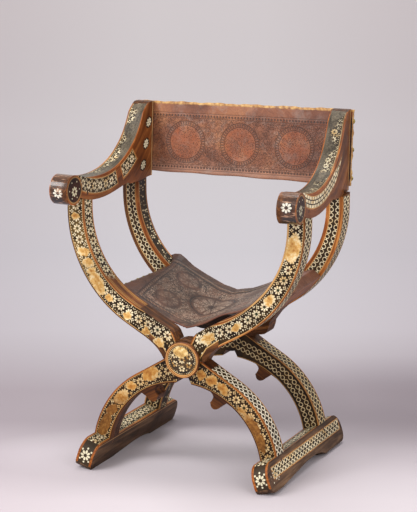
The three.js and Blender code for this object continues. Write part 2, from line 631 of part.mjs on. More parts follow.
// Side view of a runner in Y and depth below its top, with its nose, heel and arched underside
function runnerOutline() {
  const length = RUNNER_BACK_Y - RUNNER_FRONT_Y;
  const nose = new THREE.Vector2(RUNNER_FRONT_Y + RUNNER_NOSE_RADIUS, -RUNNER_NOSE_RADIUS);
  const heel = new THREE.Vector2(RUNNER_BACK_Y - RUNNER_HEEL_RADIUS, -RUNNER_HEEL_RADIUS);
  const toe = new THREE.Vector2(RUNNER_FRONT_Y + RUNNER_TOE_ROUND, RUNNER_TOE_ROUND - RUNNER_DEPTH);
  const tail = new THREE.Vector2(RUNNER_BACK_Y - RUNNER_TOE_ROUND, RUNNER_TOE_ROUND - RUNNER_DEPTH);
  const arch = runnerArchShares.map(([along, rise]) => new THREE.Vector2(
    RUNNER_FRONT_Y + length * along,
    RUNNER_ARCH_RISE * rise - RUNNER_DEPTH,
  ));
  return new THREE.Shape([
    ...arcPoints(nose, RUNNER_NOSE_RADIUS, Math.PI, Math.PI / 2),
    ...arcPoints(heel, RUNNER_HEEL_RADIUS, Math.PI / 2, 0),
    ...arcPoints(tail, RUNNER_TOE_ROUND, 0, -Math.PI / 2),
    ...new THREE.SplineCurve(arch).getPoints(2 * LONG_CURVE_STEPS).reverse(),
    ...arcPoints(toe, RUNNER_TOE_ROUND, -Math.PI / 2, -Math.PI),
  ]);
}

// Runner in its own place: canted like the leg ends, worn flat where it stands
function runner(facing) {
  const geometry = board(runnerOutline(), RUNNER_WIDTH);
  const middle = legFoot().addScaledVector(legAxis, FIT);
  geometry.rotateY(-facing * RUNNER_CANT);
  geometry.translate(facing * middle.x, 0, middle.y);
  const reach = LOWER_OUTER_RADIUS * 2;
  const floor = boxBetween(
    [-reach, RUNNER_FRONT_Y - CUT_OVERRUN, -RUNNER_DEPTH],
    [reach, RUNNER_BACK_Y + CUT_OVERRUN, 0],
  );
  let solid = solidOf(geometry).subtract(solidOf(floor));
  for (const midY of [FRONT_MID_Y, BACK_MID_Y]) {
    solid = solid.subtract(runnerTenon(facing, midY, FIT));
    solid = solid.subtract(solidOf(runnerPeg(facing, midY, FIT)));
  }
  return geometryOf(solid);
}

// Turned profile about Z, from (radius, height) pairs, laid along Y with its top facing outwards
function turned(profile, segments, outward) {
  const geometry = new THREE.LatheGeometry(profile.map(([r, h]) => new THREE.Vector2(r, h)), segments);
  geometry.rotateX(outward > 0 ? 0 : Math.PI);
  return geometryOf(solidOf(geometry));
}

function boss(outward) {
  const field = BOSS_THICKNESS - BOSS_FIELD_DEPTH;
  return turned([
    [0, FIT],
    [BOSS_RADIUS, FIT],
    [BOSS_RADIUS, BOSS_THICKNESS - BOSS_FIELD_DEPTH],
    [BOSS_RADIUS - BOSS_FIELD_DEPTH, BOSS_THICKNESS],
    [BOSS_RADIUS - BOSS_RIM_WIDTH, BOSS_THICKNESS],
    [BOSS_RADIUS - BOSS_RIM_WIDTH - BOSS_FIELD_DEPTH, field],
    [0, field],
  ], ROUND_SEGMENTS, outward);
}

// Hip pin with a countersunk head outside and a riveted end over the washer inside
function hipPin(outward) {
  const shankEnd = -PLANK_THICKNESS - WASHER_THICKNESS - 2 * FIT;
  return turned([
    [0, shankEnd - PIN_BURR_LENGTH],
    [PIN_BURR_RADIUS, shankEnd - PIN_BURR_LENGTH],
    [PIN_BURR_RADIUS, shankEnd - FIT],
    [PIN_RADIUS, shankEnd - FIT],
    [PIN_RADIUS, -PIN_HEAD_DEPTH],
    [PIN_HEAD_RADIUS, -PIN_HEAD_DEPTH],
    [PIN_HEAD_RADIUS, 0],
    [0, 0],
  ], ROUND_SEGMENTS / 2, outward);
}

function washer(outward) {
  const near = -PLANK_THICKNESS - FIT;
  const bore = PIN_RADIUS + PIN_RUNNING_CLEARANCE;
  return turned([
    [bore, near - WASHER_THICKNESS],
    [WASHER_RADIUS, near - WASHER_THICKNESS],
    [WASHER_RADIUS, near],
    [bore, near],
    [bore, near - WASHER_THICKNESS],
  ], ROUND_SEGMENTS / 2, outward);
}

// Value at a share along a list of [share, value] stops
function alongStops(stops, share) {
  const next = Math.max(1, stops.findIndex(([stop]) => stop >= share));
  const [from, low] = stops[next - 1];
  const [to, high] = stops[next];
  return low + ((high - low) * (share - from)) / (to - from);
}

// Closed sheet of leather over a surface; its thickness stands on the surface's upper side
function leatherSheet(columns, rows, pointAt) {
  const grid = [];
  for (let i = 0; i <= columns; i += 1) {
    grid.push([]);
    for (let j = 0; j <= rows; j += 1) {
      grid[i].push(pointAt(i, j));
    }
  }
  const positions = [];
  const indices = [];
  for (const side of [0, 1]) {
    for (let i = 0; i <= columns; i += 1) {
      for (let j = 0; j <= rows; j += 1) {
        const across = grid[Math.min(columns, i + 1)][j].clone().sub(grid[Math.max(0, i - 1)][j]);
        const along = grid[i][Math.min(rows, j + 1)].clone().sub(grid[i][Math.max(0, j - 1)]);
        const normal = across.cross(along).normalize();
        positions.push(...grid[i][j].clone().addScaledVector(normal, side * LEATHER_THICKNESS));
      }
    }
  }
  const corner = (side, i, j) => (side * (columns + 1) + i) * (rows + 1) + j;
  const quad = (a, b, c, d) => indices.push(a, b, c, a, c, d);
  for (let i = 0; i < columns; i += 1) {
    for (let j = 0; j < rows; j += 1) {
      quad(corner(1, i, j), corner(1, i + 1, j), corner(1, i + 1, j + 1), corner(1, i, j + 1));
      quad(corner(0, i, j), corner(0, i, j + 1), corner(0, i + 1, j + 1), corner(0, i + 1, j));
    }
    quad(corner(0, i, 0), corner(0, i + 1, 0), corner(1, i + 1, 0), corner(1, i, 0));
    quad(corner(0, i + 1, rows), corner(0, i, rows), corner(1, i, rows), corner(1, i + 1, rows));
  }
  for (let j = 0; j < rows; j += 1) {
    quad(corner(0, 0, j + 1), corner(0, 0, j), corner(1, 0, j), corner(1, 0, j + 1));
    quad(corner(0, columns, j), corner(0, columns, j + 1), corner(1, columns, j + 1), corner(1, columns, j));
  }
  const geometry = new THREE.BufferGeometry();
  geometry.setAttribute('position', new THREE.Float32BufferAttribute(positions, 3));
  geometry.setIndex(indices);
  geometry.computeVertexNormals();
  return geometry;
}

// Underside of the seat leather at a share of the way back: along X and Z from the left rail to the right one
function seatSection(backShare) {
  const left = sides[0];
  const right = sides[1];
  const onRail = (rail, outward) => {
    const point = railPoint(rail, outward, RAIL_WIDTH / 2 + SEAT_LIFT);
    return new THREE.Vector2(rail.facing * (point.x - railLean(rail) * backShare), point.y);
  };
  const low = new THREE.Vector2(
    THREE.MathUtils.lerp(SEAT_FRONT_LOW_X, SEAT_BACK_LOW_X, backShare),
    THREE.MathUtils.lerp(SEAT_FRONT_LOW_HEIGHT, SEAT_BACK_LOW_HEIGHT, backShare),
  );
  const slingPoint = (rail, backStops, share) => {
    const end = onRail(rail, -RAIL_THICKNESS / 2 - SEAT_LIFT);
    const rise = THREE.MathUtils.lerp(alongStops(seatFrontShares, share), alongStops(backStops, share), backShare);
    return new THREE.Vector2(THREE.MathUtils.lerp(low.x, end.x, share), low.y + (end.y - low.y) * rise);
  };
  const half = (SEAT_COLUMNS - 2 * SEAT_FOLD_COLUMNS) / 2;
  const points = [onRail(left, RAIL_THICKNESS / 2)];
  for (let i = -half; i <= half; i += 1) {
    const share = Math.abs(i) / half;
    points.push(i < 0 ? slingPoint(left, seatBackLeftShares, share) : slingPoint(right, seatBackRightShares, share));
  }
  return [...points, onRail(right, RAIL_THICKNESS / 2)];
}

// Back edge of the seat leather: behind the back frame in the middle, in front of it at the rails
function seatBackEdge(x) {
  const neck = THREE.MathUtils.smoothstep(Math.abs(x), SEAT_NECK_X, SEAT_NECK_X + SEAT_NECK_LENGTH);
  return THREE.MathUtils.lerp(SEAT_BACK_EDGE_Y, BACK_FACE_Y - PLANK_THICKNESS - SEAT_LIFT, neck);
}

// Where the back frame's upper curves pass through the leather
function backCurveCutter(facing) {
  const growth = SEAT_LIFT;
  const outline = shapeFacing(upperCurve(BACK_TOE_IN + growth, true), facing);
  const inner = plank(outline, BACK_FACE_Y - PLANK_THICKNESS - growth, BACK_FACE_Y + growth);
  const wide = inner.clone().translate(facing * SEAT_NECK_LENGTH, 0, 0);
  return solidOf(inner).add(solidOf(wide));
}

function seatLeather() {
  const depth = SEAT_BACK_EDGE_Y - SEAT_FRONT_EDGE_Y;
  const sheet = leatherSheet(SEAT_COLUMNS, SEAT_ROWS, (i, j) => {
    const flat = seatSection(j / SEAT_ROWS)[i];
    const y = THREE.MathUtils.lerp(SEAT_FRONT_EDGE_Y, seatBackEdge(flat.x), j / SEAT_ROWS);
    const point = seatSection((y - SEAT_FRONT_EDGE_Y) / depth)[i];
    const outwards = THREE.MathUtils.smoothstep(-point.x, SEAT_CURL_X, SEAT_NECK_X);
    const backwards = THREE.MathUtils.smoothstep(y, BACK_FACE_Y - PLANK_THICKNESS, SEAT_BACK_EDGE_Y);
    return new THREE.Vector3(point.x, y, point.y + SEAT_CURL * outwards * backwards);
  });
  return geometryOf(solidOf(sheet).subtract(backCurveCutter(-1)).subtract(backCurveCutter(1)));
}

// Half width of the back between the posts' outer faces at the back leather
function postOuterX() {
  return TOP_CENTRE_X - POST_TOE_IN + ARM_THICKNESS / 2;
}

// Y of the posts' back face at a height
function postBackY(height) {
  const heelHeight = ARM_HEIGHT - ARM_DEPTH * armUnderShares[0][1];
  const straight = POST_FOOT_Y + (POST_LEAN * (height - heelHeight)) / (POST_TOP_HEIGHT_LEFT - heelHeight);
  return SCROLL_Y + (straight - SCROLL_Y) * Math.cos(TOE_ANGLE);
}

// The leather hangs behind the posts and swells back a little between them
function backLeather() {
  const half = postOuterX() + BACK_LEATHER_OVERHANG;
  const inner = postOuterX() - ARM_THICKNESS;
  return leatherSheet(BACK_COLUMNS, BACK_ROWS, (i, j) => {
    const x = THREE.MathUtils.lerp(half, -half, i / BACK_COLUMNS);
    const top = THREE.MathUtils.lerp(POST_TOP_HEIGHT_RIGHT, POST_TOP_HEIGHT_LEFT, i / BACK_COLUMNS);
    const z = THREE.MathUtils.lerp(BACK_LEATHER_BOTTOM, top, j / BACK_ROWS);
    const swell = BACK_LEATHER_BULGE * Math.cos((Math.min(1, Math.abs(x) / inner) * Math.PI) / 2);
    return new THREE.Vector3(x, postBackY(z) + postCornerGap() + swell, z);
  });
}

// From the middle of a post's back face to its hindmost corner, with the fit
function postCornerGap() {
  return (ARM_THICKNESS / 2) * Math.sin(TOE_ANGLE) + FIT;
}

function stud() {
  const dome = [];
  for (let i = 0; i < SHORT_CURVE_STEPS; i += 1) {
    const angle = (Math.PI / 2) * (i / SHORT_CURVE_STEPS);
    dome.push([STUD_RADIUS * Math.cos(angle), STUD_HEIGHT * Math.sin(angle)]);
  }
  return turned([[0, 0], ...dome, [0, STUD_HEIGHT]], STUD_SEGMENTS, 1);
}

function place(mesh, x, y, z) {
  mesh.position.set(x, y, z);
  return mesh;
}

// Everything that moves with one arm
function buildHalf(side) {
  const { name, across, facing } = side;
  const half = new THREE.Group();
  half.add(named(`front_member_${name}_arm`, geometryOf(crossingMember(side, false)), 'inlaidWalnut'));
  half.add(named(`back_member_${name}_arm`, geometryOf(crossingMember(side, true)), 'inlaidWalnut'));
  const armMesh = named(`${name}_arm`, arm(side), 'armWalnut');
  armMesh.applyMatrix4(armPlacement(facing));
  half.add(armMesh);
  half.add(named(`${across}_runner`, runner(-facing), 'inlaidWalnut'));
  half.add(named(`${name}_seat_rail`, seatRail(side), 'walnut'));
  for (const isBack of [false, true]) {
    const end = isBack ? 'back' : 'front';
    const midY = isBack ? BACK_MID_Y : FRONT_MID_Y;
    half.add(named(`${name}_arm_${end}_peg`, armPeg(facing, isBack, 0), 'pegWood'));
    half.add(named(`${across}_runner_${end}_peg`, runnerPeg(-facing, midY, 0), 'pegWood'));
  }
  studHeightShares.forEach((share, index) => {
    const z = THREE.MathUtils.lerp(BACK_LEATHER_BOTTOM, side.postTop, share);
    const y = postBackY(z) + postCornerGap() + LEATHER_THICKNESS + 2 * FIT;
    const mesh = named(`${name}_back_stud_${index + 1}`, stud(), 'brass');
    mesh.rotation.x = -LEAN_ANGLE;
    half.add(place(mesh, facing * (postOuterX() - STUD_INSET), y, z));
  });
  return half;
}

// Pin, washer and boss of one hip joint
function buildHip(end, isBack) {
  const hip = new THREE.Group();
  const outward = isBack ? 1 : -1;
  hip.position.set(0, isBack ? BACK_FACE_Y : FRONT_FACE_Y, PIVOT_HEIGHT);
  hip.add(named(`${end}_boss`, boss(outward), 'bossInlay'));
  hip.add(named(`${end}_hip_pin`, hipPin(outward), 'iron'));
  hip.add(named(`${end}_hip_washer`, washer(outward), 'iron'));
  return hip;
}

const chair = new THREE.Group();
sides.forEach((side) => chair.add(buildHalf(side)));
chair.add(buildHip('front', false));
chair.add(buildHip('back', true));
chair.add(named('seat_leather', seatLeather(), 'seatLeather'));
chair.add(named('back_leather', backLeather(), 'backLeather'));

export default chair;
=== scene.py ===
"""Dressed model of a hip-joint armchair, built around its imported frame.

Metres. X runs across the chair, Y from front to back and Z up. Each sub-assembly
is a class that holds its sizes, builds its own pieces and dresses them.
"""
from __future__ import annotations

import logging
import math
from dataclasses import dataclass, field
from enum import Enum
from typing import Sequence, Union

import bmesh
import bpy
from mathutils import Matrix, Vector


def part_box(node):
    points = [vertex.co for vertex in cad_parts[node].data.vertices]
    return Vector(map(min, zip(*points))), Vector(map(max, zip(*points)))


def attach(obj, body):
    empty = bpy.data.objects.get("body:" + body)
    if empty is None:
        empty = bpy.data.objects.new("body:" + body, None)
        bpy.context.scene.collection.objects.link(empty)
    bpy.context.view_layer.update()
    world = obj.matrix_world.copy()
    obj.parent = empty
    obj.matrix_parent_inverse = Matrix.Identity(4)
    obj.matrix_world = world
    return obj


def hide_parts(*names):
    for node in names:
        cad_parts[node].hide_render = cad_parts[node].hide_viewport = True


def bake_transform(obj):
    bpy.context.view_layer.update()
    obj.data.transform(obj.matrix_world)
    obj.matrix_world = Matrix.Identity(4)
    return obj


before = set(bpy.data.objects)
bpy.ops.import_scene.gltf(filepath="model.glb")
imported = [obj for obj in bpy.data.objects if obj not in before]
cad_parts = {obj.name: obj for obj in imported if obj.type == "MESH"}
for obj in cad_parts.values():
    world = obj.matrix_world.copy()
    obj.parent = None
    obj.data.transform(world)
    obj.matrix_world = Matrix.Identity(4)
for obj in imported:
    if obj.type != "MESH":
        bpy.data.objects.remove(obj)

log = logging.getLogger("armchair")
FACES = 0.7  # how far a surface has to look one way to count as facing it
REST_PLACE = "rest_place"  # the attribute that keeps each point's place at rest
GOLD_LINE = "d9ad6c"  # the thin pale line along a band's edge
NEAR_BLACK = "120a06"  # the deep shade of a gap

Tone = tuple[float, float, float, float]
Socket = bpy.types.NodeSocket


def tone(code: str) -> Tone:
    """Turn a written colour into the light values that a shader takes.

    Args:
        code: Six hexadecimal digits, red, green and blue.

    Returns:
        The colour in linear light, with full opacity.
    """
    written = [int(code[i:i + 2], 16) / 255 for i in (0, 2, 4)]
    light = [c / 12.92 if c <= 0.04045 else ((c + 0.055) / 1.055) ** 2.4 for c in written]
    return (light[0], light[1], light[2], 1.0)


class Flow:
    """A number that varies over a surface, with the arithmetic of plain numbers."""

    def __init__(self, bench: "Bench", socket: Socket) -> None:
        """Keep the bench that the number's nodes stand on, and its socket."""
        self.bench = bench
        self.socket = socket

    def __add__(self, other: "Amount") -> "Flow":
        """Sum."""
        return self.bench.math("ADD", self, other)

    __radd__ = __add__

    def __sub__(self, other: "Amount") -> "Flow":
        """Difference."""
        return self.bench.math("SUBTRACT", self, other)

    def __rsub__(self, other: "Amount") -> "Flow":
        """Difference from a number."""
        return self.bench.math("SUBTRACT", other, self)

    def __mul__(self, other: "Amount") -> "Flow":
        """Product."""
        return self.bench.math("MULTIPLY", self, other)

    __rmul__ = __mul__

    def __truediv__(self, other: "Amount") -> "Flow":
        """Quotient."""
        return self.bench.math("DIVIDE", self, other)

    def __rtruediv__(self, other: "Amount") -> "Flow":
        """A number shared out by this one."""
        return self.bench.math("DIVIDE", other, self)

    def __neg__(self) -> "Flow":
        """Opposite."""
        return self.bench.math("MULTIPLY", self, -1.0)

    def __abs__(self) -> "Flow":
        """Size without its sign."""
        return self.bench.math("ABSOLUTE", self)

    def __gt__(self, other: "Amount") -> "Flow":
        """One where this is the larger, else zero."""
        return self.bench.math("GREATER_THAN", self, other)

    def __lt__(self, other: "Amount") -> "Flow":
        """One where this is the smaller, else zero."""
        return self.bench.math("LESS_THAN", self, other)

    def soft(self, width: float = 0.0005) -> "Flow":
        """One inside an edge and zero outside it, where this is how far inside a point lies.

        Args:
            width: How wide the change is.

        Returns:
            The share of the inside.
        """
        return self.bench.math("MULTIPLY_ADD", self, 1 / width, 0.5, clamp=True)

    def line(self, half: "Amount", width: float = 0.0005) -> "Flow":
        """One where this lies within half a line's width of zero, with an edge as soft has it."""
        return (half - abs(self)).soft(width)

    def between(self, low: float, high: float) -> "Flow":
        """This number's share of the way from one number to another, kept between zero and one."""
        links = {0: self, 1: low, 2: high, 3: 0.0, 4: 1.0}
        made = self.bench.node("ShaderNodeMapRange", {"clamp": True}, links)
        return Flow(self.bench, made.outputs[0])

    def length(self, other: "Flow") -> "Flow":
        """Length of a line of which this is one leg."""
        return self.bench.math("SQRT", self * self + other * other)

    def turn(self, run: "Flow") -> "Flow":
        """Angle of a line of which this is the rise."""
        return self.bench.math("ARCTAN2", self, run)

    def repeat(self, pitch: float, shift: float = 0.0) -> "Flow":
        """Place within a repeat, measured from its middle.

        Args:
            pitch: Length of one repeat.
            shift: Share of a repeat that the pattern is moved by.

        Returns:
            From minus to plus half a pitch.
        """
        return (self.bench.math("FRACT", self * (1 / pitch) + shift) - 0.5) * pitch

    def least(self, other: "Amount") -> "Flow":
        """The smaller of two."""
        return self.bench.math("MINIMUM", self, other)

    def most(self, other: "Amount") -> "Flow":
        """The larger of two."""
        return self.bench.math("MAXIMUM", self, other)


Amount = Union[Flow, float]
Link = Union[Flow, Socket, float, str, Sequence[float]]


class Bench:
    """The nodes of one material, laid out by expressions."""

    def __init__(self, name: str, bends: bool = False) -> None:
        """Start an empty material with its place and facing on the object.

        Args:
            name: The material's name.
            bends: Whether it is for a piece that bends, whose place is the one kept by note_rest.
        """
        self.material = bpy.data.materials.new(name)
        self.material.use_nodes = True
        self.tree = self.material.node_tree
        self.tree.nodes.clear()
        given = self.node("ShaderNodeTexCoord")
        self.place, self.facing = given.outputs["Object"], given.outputs["Normal"]
        if bends:
            noted = {"attribute_type": "GEOMETRY", "attribute_name": REST_PLACE}
            self.place = self.node("ShaderNodeAttribute", noted).outputs["Vector"]

    def node(
        self, kind: str, settings: dict | None = None, links: dict | None = None,
    ) -> bpy.types.Node:
        """Add one node.

        Args:
            kind: The node's type name.
            settings: Its own settings, set before anything is joined to it.
            links: Values, written colours or outputs for its inputs, by name or number.

        Returns:
            The node.
        """
        made = self.tree.nodes.new(kind)
        for key, value in (settings or {}).items():
            if key == "stops":
                self._set_stops(made.color_ramp, value)
            else:
                setattr(made, key, value)
        for key, value in (links or {}).items():
            source = value.socket if isinstance(value, Flow) else value
            if isinstance(source, Socket):
                self.tree.links.new(source, made.inputs[key])
            else:
                made.inputs[key].default_value = tone(source) if isinstance(source, str) else source
        return made

    @staticmethod
    def _set_stops(ramp: bpy.types.ColorRamp, stops: Sequence[tuple[float, str]]) -> None:
        """Give a ramp its stops.

        Args:
            ramp: The ramp of a node that has just been made.
            stops: Places and written colours in rising order.
        """
        while len(ramp.elements) < len(stops):
            ramp.elements.new(1.0)
        for element, (place, colour) in zip(ramp.elements, stops):
            element.position = place
            element.color = tone(colour)

    def math(self, operation: str, *terms: Amount, clamp: bool = False) -> Flow:
        """Add a Math node.

        Args:
            operation: The node's operation.
            terms: Its inputs in order.
            clamp: Whether the result stays between zero and one.

        Returns:
            The result.
        """
        settings = {"operation": operation, "use_clamp": clamp}
        made = self.node("ShaderNodeMath", settings, dict(enumerate(terms)))
        return Flow(self, made.outputs[0])

    def vector(self, operation: str, *terms: Link) -> bpy.types.Node:
        """Add a Vector Math node with its inputs in order."""
        return self.node("ShaderNodeVectorMath", {"operation": operation}, dict(enumerate(terms)))

    def split(self, socket: Socket) -> tuple[Flow, Flow, Flow]:
        """The three parts of a direction or place."""
        made = self.node("ShaderNodeSeparateXYZ", None, {0: socket})
        return Flow(self, made.outputs[0]), Flow(self, made.outputs[1]), Flow(self, made.outputs[2])

    def joined(self, x: Link, y: Link, z: Link) -> Socket:
        """A direction or place from its three parts."""
        return self.node("ShaderNodeCombineXYZ", None, {0: x, 1: y, 2: z}).outputs[0]

    def mix(self, share: Link, below: Link, above: Link, kind: str = "MIX") -> Socket:
        """Lay one colour over another.

        Args:
            share: How much of the upper colour shows.
            below: The colour underneath.
            above: The colour on top.
            kind: The way in which they mix.

        Returns:
            The mixed colour.
        """
        settings = {"data_type": "RGBA", "blend_type": kind, "clamp_factor": True}
        made = self.node("ShaderNodeMix", settings, {0: share, 6: below, 7: above})
        return made.outputs[2]

    def shade(self, share: Link, below: Link, above: Link) -> Socket:
        """Darken one colour by another, as far as the share says."""
        return self.mix(share, below, above, "MULTIPLY")

    def noise(
        self, place: Link, scale: float, detail: float = 3.0, rough: float = 0.55, bend: float = 0.0,
    ) -> Flow:
        """Cloudy variation.

        Args:
            place: Where it is read.
            scale: How fine it is, in waves to the metre.
            detail: How many finer layers it has.
            rough: How strong these are.
            bend: How far it twists.

        Returns:
            A value around one half.
        """
        links = {
            "Vector": place, "Scale": scale, "Detail": detail, "Roughness": rough, "Distortion": bend,
        }
        return Flow(self, self.node("ShaderNodeTexNoise", None, links).outputs[0])

    def cloud(self, scale: float, detail: float = 3.0, rough: float = 0.55, bend: float = 0.0) -> Flow:
        """Cloudy variation read at the piece's own place, with the terms of noise."""
        return self.noise(self.place, scale, detail, rough, bend)

    def cells(self, place: Link, scale: float, random: float = 1.0) -> tuple[Flow, Socket]:
        """Scattered cells.

        Args:
            place: Where they are read.
            scale: How many there are to the metre.
            random: How far they stray from a regular grid.

        Returns:
            The distance in a cell, and a colour for each cell.
        """
        links = {"Vector": place, "Scale": scale, "Randomness": random}
        made = self.node("ShaderNodeTexVoronoi", {"feature": "F1"}, links)
        return Flow(self, made.outputs["Distance"]), made.outputs["Color"]

    def ramp(self, value: Flow, *stops: tuple[float, str]) -> Socket:
        """A colour that follows a value through some stops."""
        return self.node("ShaderNodeValToRGB", {"stops": stops}, {0: value}).outputs[0]

    def finish(
        self, colour: Link, rough: Link, height: Flow | None = None, relief: float = 0.0006,
        normal: Link | None = None, metal: Link = 0.0, fixed: dict | None = None,
    ) -> bpy.types.Material:
        """Join everything to the surface.

        Args:
            colour: Base colour.
            rough: Roughness.
            height: Raised and sunk detail, from zero to one.
            relief: How high that detail stands.
            normal: The facing of the surface where it is worked out.
            metal: Share of bare metal.
            fixed: Values that are the same all over.

        Returns:
            The finished material.
        """
        links = {"Base Color": colour, "Roughness": rough, "Metallic": metal, **(fixed or {})}
        if height is not None:
            sink = {"Strength": 1.0, "Distance": relief, "Height": height}
            if normal is not None:
                sink["Normal"] = normal
            links["Normal"] = self.node("ShaderNodeBump", None, sink).outputs[0]
        surface = self.node("ShaderNodeBsdfPrincipled", None, links)
        self.node("ShaderNodeOutputMaterial", None, {0: surface.outputs[0]})
        return self.material


def dress(piece: Union[str, bpy.types.Object], material: bpy.types.Material) -> None:
    """Give a piece its finish.

    Args:
        piece: A modelled piece, or the name of a node of the frame.
        material: The finish.
    """
    made = (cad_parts[piece] if isinstance(piece, str) else piece).data
    made.materials.clear()
    made.materials.append(material)


class Wood(Enum):
    """Named woods, each with its dark, middle and light tones."""

    WALNUT = ("241308", "573217", "8f5a2c")
    EDGE = ("4c240b", "955020", "cf8b46")
    DARK = ("160c06", "33200f", "553719")
    POST = ("3f1e0d", "7c4520", "b3733c")
    RUNNER = ("22170f", "533a28", "866548")
    ARM = ("251e16", "50473a", "776a59")


@dataclass(frozen=True)
class Grain:
    """Grain of sawn walnut along a piece."""

    wood: Wood
    along: float = 7.0
    across: float = 75.0

    def colour(self, u: Flow, v: Flow, w: Flow) -> tuple[Socket, Flow]:
        """Draw the grain.

        Args:
            u: Place along the grain.
            v: Place across it.
            w: Place through the board.

        Returns:
            The colour and the grain's own height.
        """
        bench = u.bench
        pull = (self.along, self.across, self.across)
        stretched = bench.vector("MULTIPLY", bench.joined(u, v, w), pull)
        figure = bench.noise(stretched.outputs[0], 1.0, 6.0, 0.62, 0.8)
        dark, middle, light = self.wood.value
        return bench.ramp(figure, (0.28, dark), (0.5, middle), (0.74, light)), figure


@dataclass(frozen=True)
class Star:
    """Masks of one inlaid star: its petals and its heart."""

    petals: Flow
    heart: Flow
    reach: Flow


@dataclass(frozen=True)
class Inlay:
    """Small bone pieces let into a dark ground, in bands along a piece."""

    ground: str = "130b04"
    ground_worn: str = "4a3413"
    bone: str = "fff1cc"
    bone_aged: str = "b9965a"
    stain: str = "2f3d24"
    red: str = "5a2f18"
    gilt: str = "d8a85c"
    waist: float = 0.58
    slit: float = 0.34
    heart: float = 0.27
    hollow: float = 0.34

    def star(self, a: Flow, b: Flow, radius: float, petals: int = 8) -> Star:
        """Draw a star with separate petals.

        Args:
            a: Place along from the star's middle.
            b: Place across from it.
            radius: Reach of its petals.
            petals: How many it has.

        Returns:
            Its masks.
        """
        reach = a.length(b)
        lobes = abs(a.bench.math("COSINE", b.turn(a) * (petals / 2)))
        outline = (lobes * (radius * (1 - self.waist)) + radius * self.waist - reach).soft()
        gaps = ((lobes - self.slit) * radius).soft(radius * 0.3)
        heart = (radius * self.heart - reach).soft()
        hollow = (reach - radius * self.hollow).soft()
        return Star(outline * gaps * hollow, heart, reach)

    def dots(self, a: Flow, b: Flow, radius: float) -> Flow:
        """One round dot in each repeat."""
        return (radius - a.length(b)).soft()

    def ring(self, a: Flow, b: Flow, radius: float, width: float) -> Flow:
        """One ring in each repeat."""
        return (a.length(b) - radius).line(width / 2)

    def scatter(self, u: Flow, v: Flow, scale: float, share: float) -> tuple[Flow, Flow]:
        """Small chips strewn over a band.

        Args:
            u: Place along.
            v: Place across.
            scale: Chips to the metre.
            share: Share of the places that hold one.

        Returns:
            Their mask, and a value of its own for each.
        """
        bench = u.bench
        reach, colour = bench.cells(bench.joined(u, v, 0.0), scale, 0.55)
        own, kept, _ = bench.split(colour)
        return (0.37 - reach).soft(0.1) * (kept < share), own


class Pattern(Enum):
    """What a band of inlay shows."""

    STARS = "stars"
    CHAIN = "chain"
    DASHES = "dashes"
    SPECKS = "specks"
    ROSETTES = "rosettes"


@dataclass(frozen=True)
class Band:
    """One band of inlay between two wooden edges."""

    pattern: Pattern
    edge: float = 0.0045
    pitch: float = 0.031
    radius: float = 0.012
    wear: float = 0.22
    row: float = 0.0085
    stroke: float = 0.0028
    stretch: float = 1.0
    bead_pitch: float = 0.0064
    bead_radius: float = 0.0012
    inlay: Inlay = field(default_factory=Inlay)

    def masks(self, u: Flow, v: Flow) -> tuple[Flow, Flow, Flow]:
        """Draw the band's bone, its stained hearts and each chip's own value.

        Args:
            u: Place along the band.
            v: Place across it from its middle.

        Returns:
            Bone, hearts and the chips' own value.
        """
        if self.pattern in (Pattern.STARS, Pattern.SPECKS):
            v = v * (1 / self.stretch)
        chips, own = self.inlay.scatter(u, v, 185.0, 0.34)
        if self.pattern is Pattern.STARS:
            star = self.inlay.star(u.repeat(self.pitch), v, self.radius)
            half = u.repeat(self.pitch, 0.5)
            small = self.inlay.star(half, abs(v) - self.radius * 0.95, self.radius * 0.40, 4)
            beads = self.inlay.dots(
                u.repeat(self.bead_pitch), abs(v) - self.radius * 1.5, self.bead_radius)
            away = (star.reach > self.radius * 1.12) * (small.reach > self.radius * 0.6)
            bone = star.petals.most(small.petals).most(beads).most(chips * away)
            return bone, star.heart.most(small.heart), own
        if self.pattern is Pattern.ROSETTES:
            star = self.inlay.star(u.repeat(self.pitch), v, self.radius)
            return star.petals.most(star.heart), star.heart * 0.0, own
        if self.pattern is Pattern.CHAIN:
            row = (abs(v) - self.row) * (1 / self.stretch)
            rings = self.inlay.ring(u.repeat(self.pitch), row, self.radius, self.stroke)
            links = self.inlay.dots(u.repeat(self.pitch, 0.5), row, self.stroke * 0.72)
            return rings.most(links), row * 0.0, own
        if self.pattern is Pattern.DASHES:
            row = v.repeat(self.row, 0.5)
            lane = u.bench.math("FLOOR", v * (1 / self.row) + 0.5) * 0.5
            long = abs((u + lane * self.pitch).repeat(self.pitch))
            return (self.radius - long).soft() * row.line(self.stroke), row * 0.0, own
        chips, own = self.inlay.scatter(u, v, 150.0, 0.66)
        return chips, chips * 0.0, own * 0.6 + 0.4

    def lay(self, wood: Link, u: Flow, v: Flow, margin: Flow, worn: Flow) -> tuple[Socket, Flow]:
        """Lay the band over the wood.

        Args:
            wood: Colour of the bare wood.
            u: Place along.
            v: Place across.
            margin: Distance in from the nearer edge.
            worn: Cloudy wear.

        Returns:
            The colour, and the bone's mask.
        """
        bench, tones = u.bench, self.inlay
        bone, hearts, own = self.masks(u, v)
        inside = (margin - (self.edge + 0.0022)).soft()
        line = (margin - (self.edge + 0.001)).line(0.0007, 0.0006)
        kept = (worn - self.wear).soft(0.08)
        bone = bone * inside * kept
        ground = bench.mix(worn.between(0.35, 0.75), tones.ground, tones.ground_worn)
        pale = bench.mix(own * 0.6, tones.bone, tones.bone_aged)
        warm = bench.cloud(26.0, 3.0)
        pale = bench.mix(warm.between(0.54, 0.68) * 0.7, pale, tones.gilt)
        heart = bench.mix(own > 0.55, tones.stain, tones.red)
        colour = bench.mix(inside, wood, ground)
        colour = bench.mix(hearts * inside, colour, heart)
        colour = bench.mix(bone, colour, pale)
        return bench.mix(line * kept * 0.85, colour, GOLD_LINE), bone


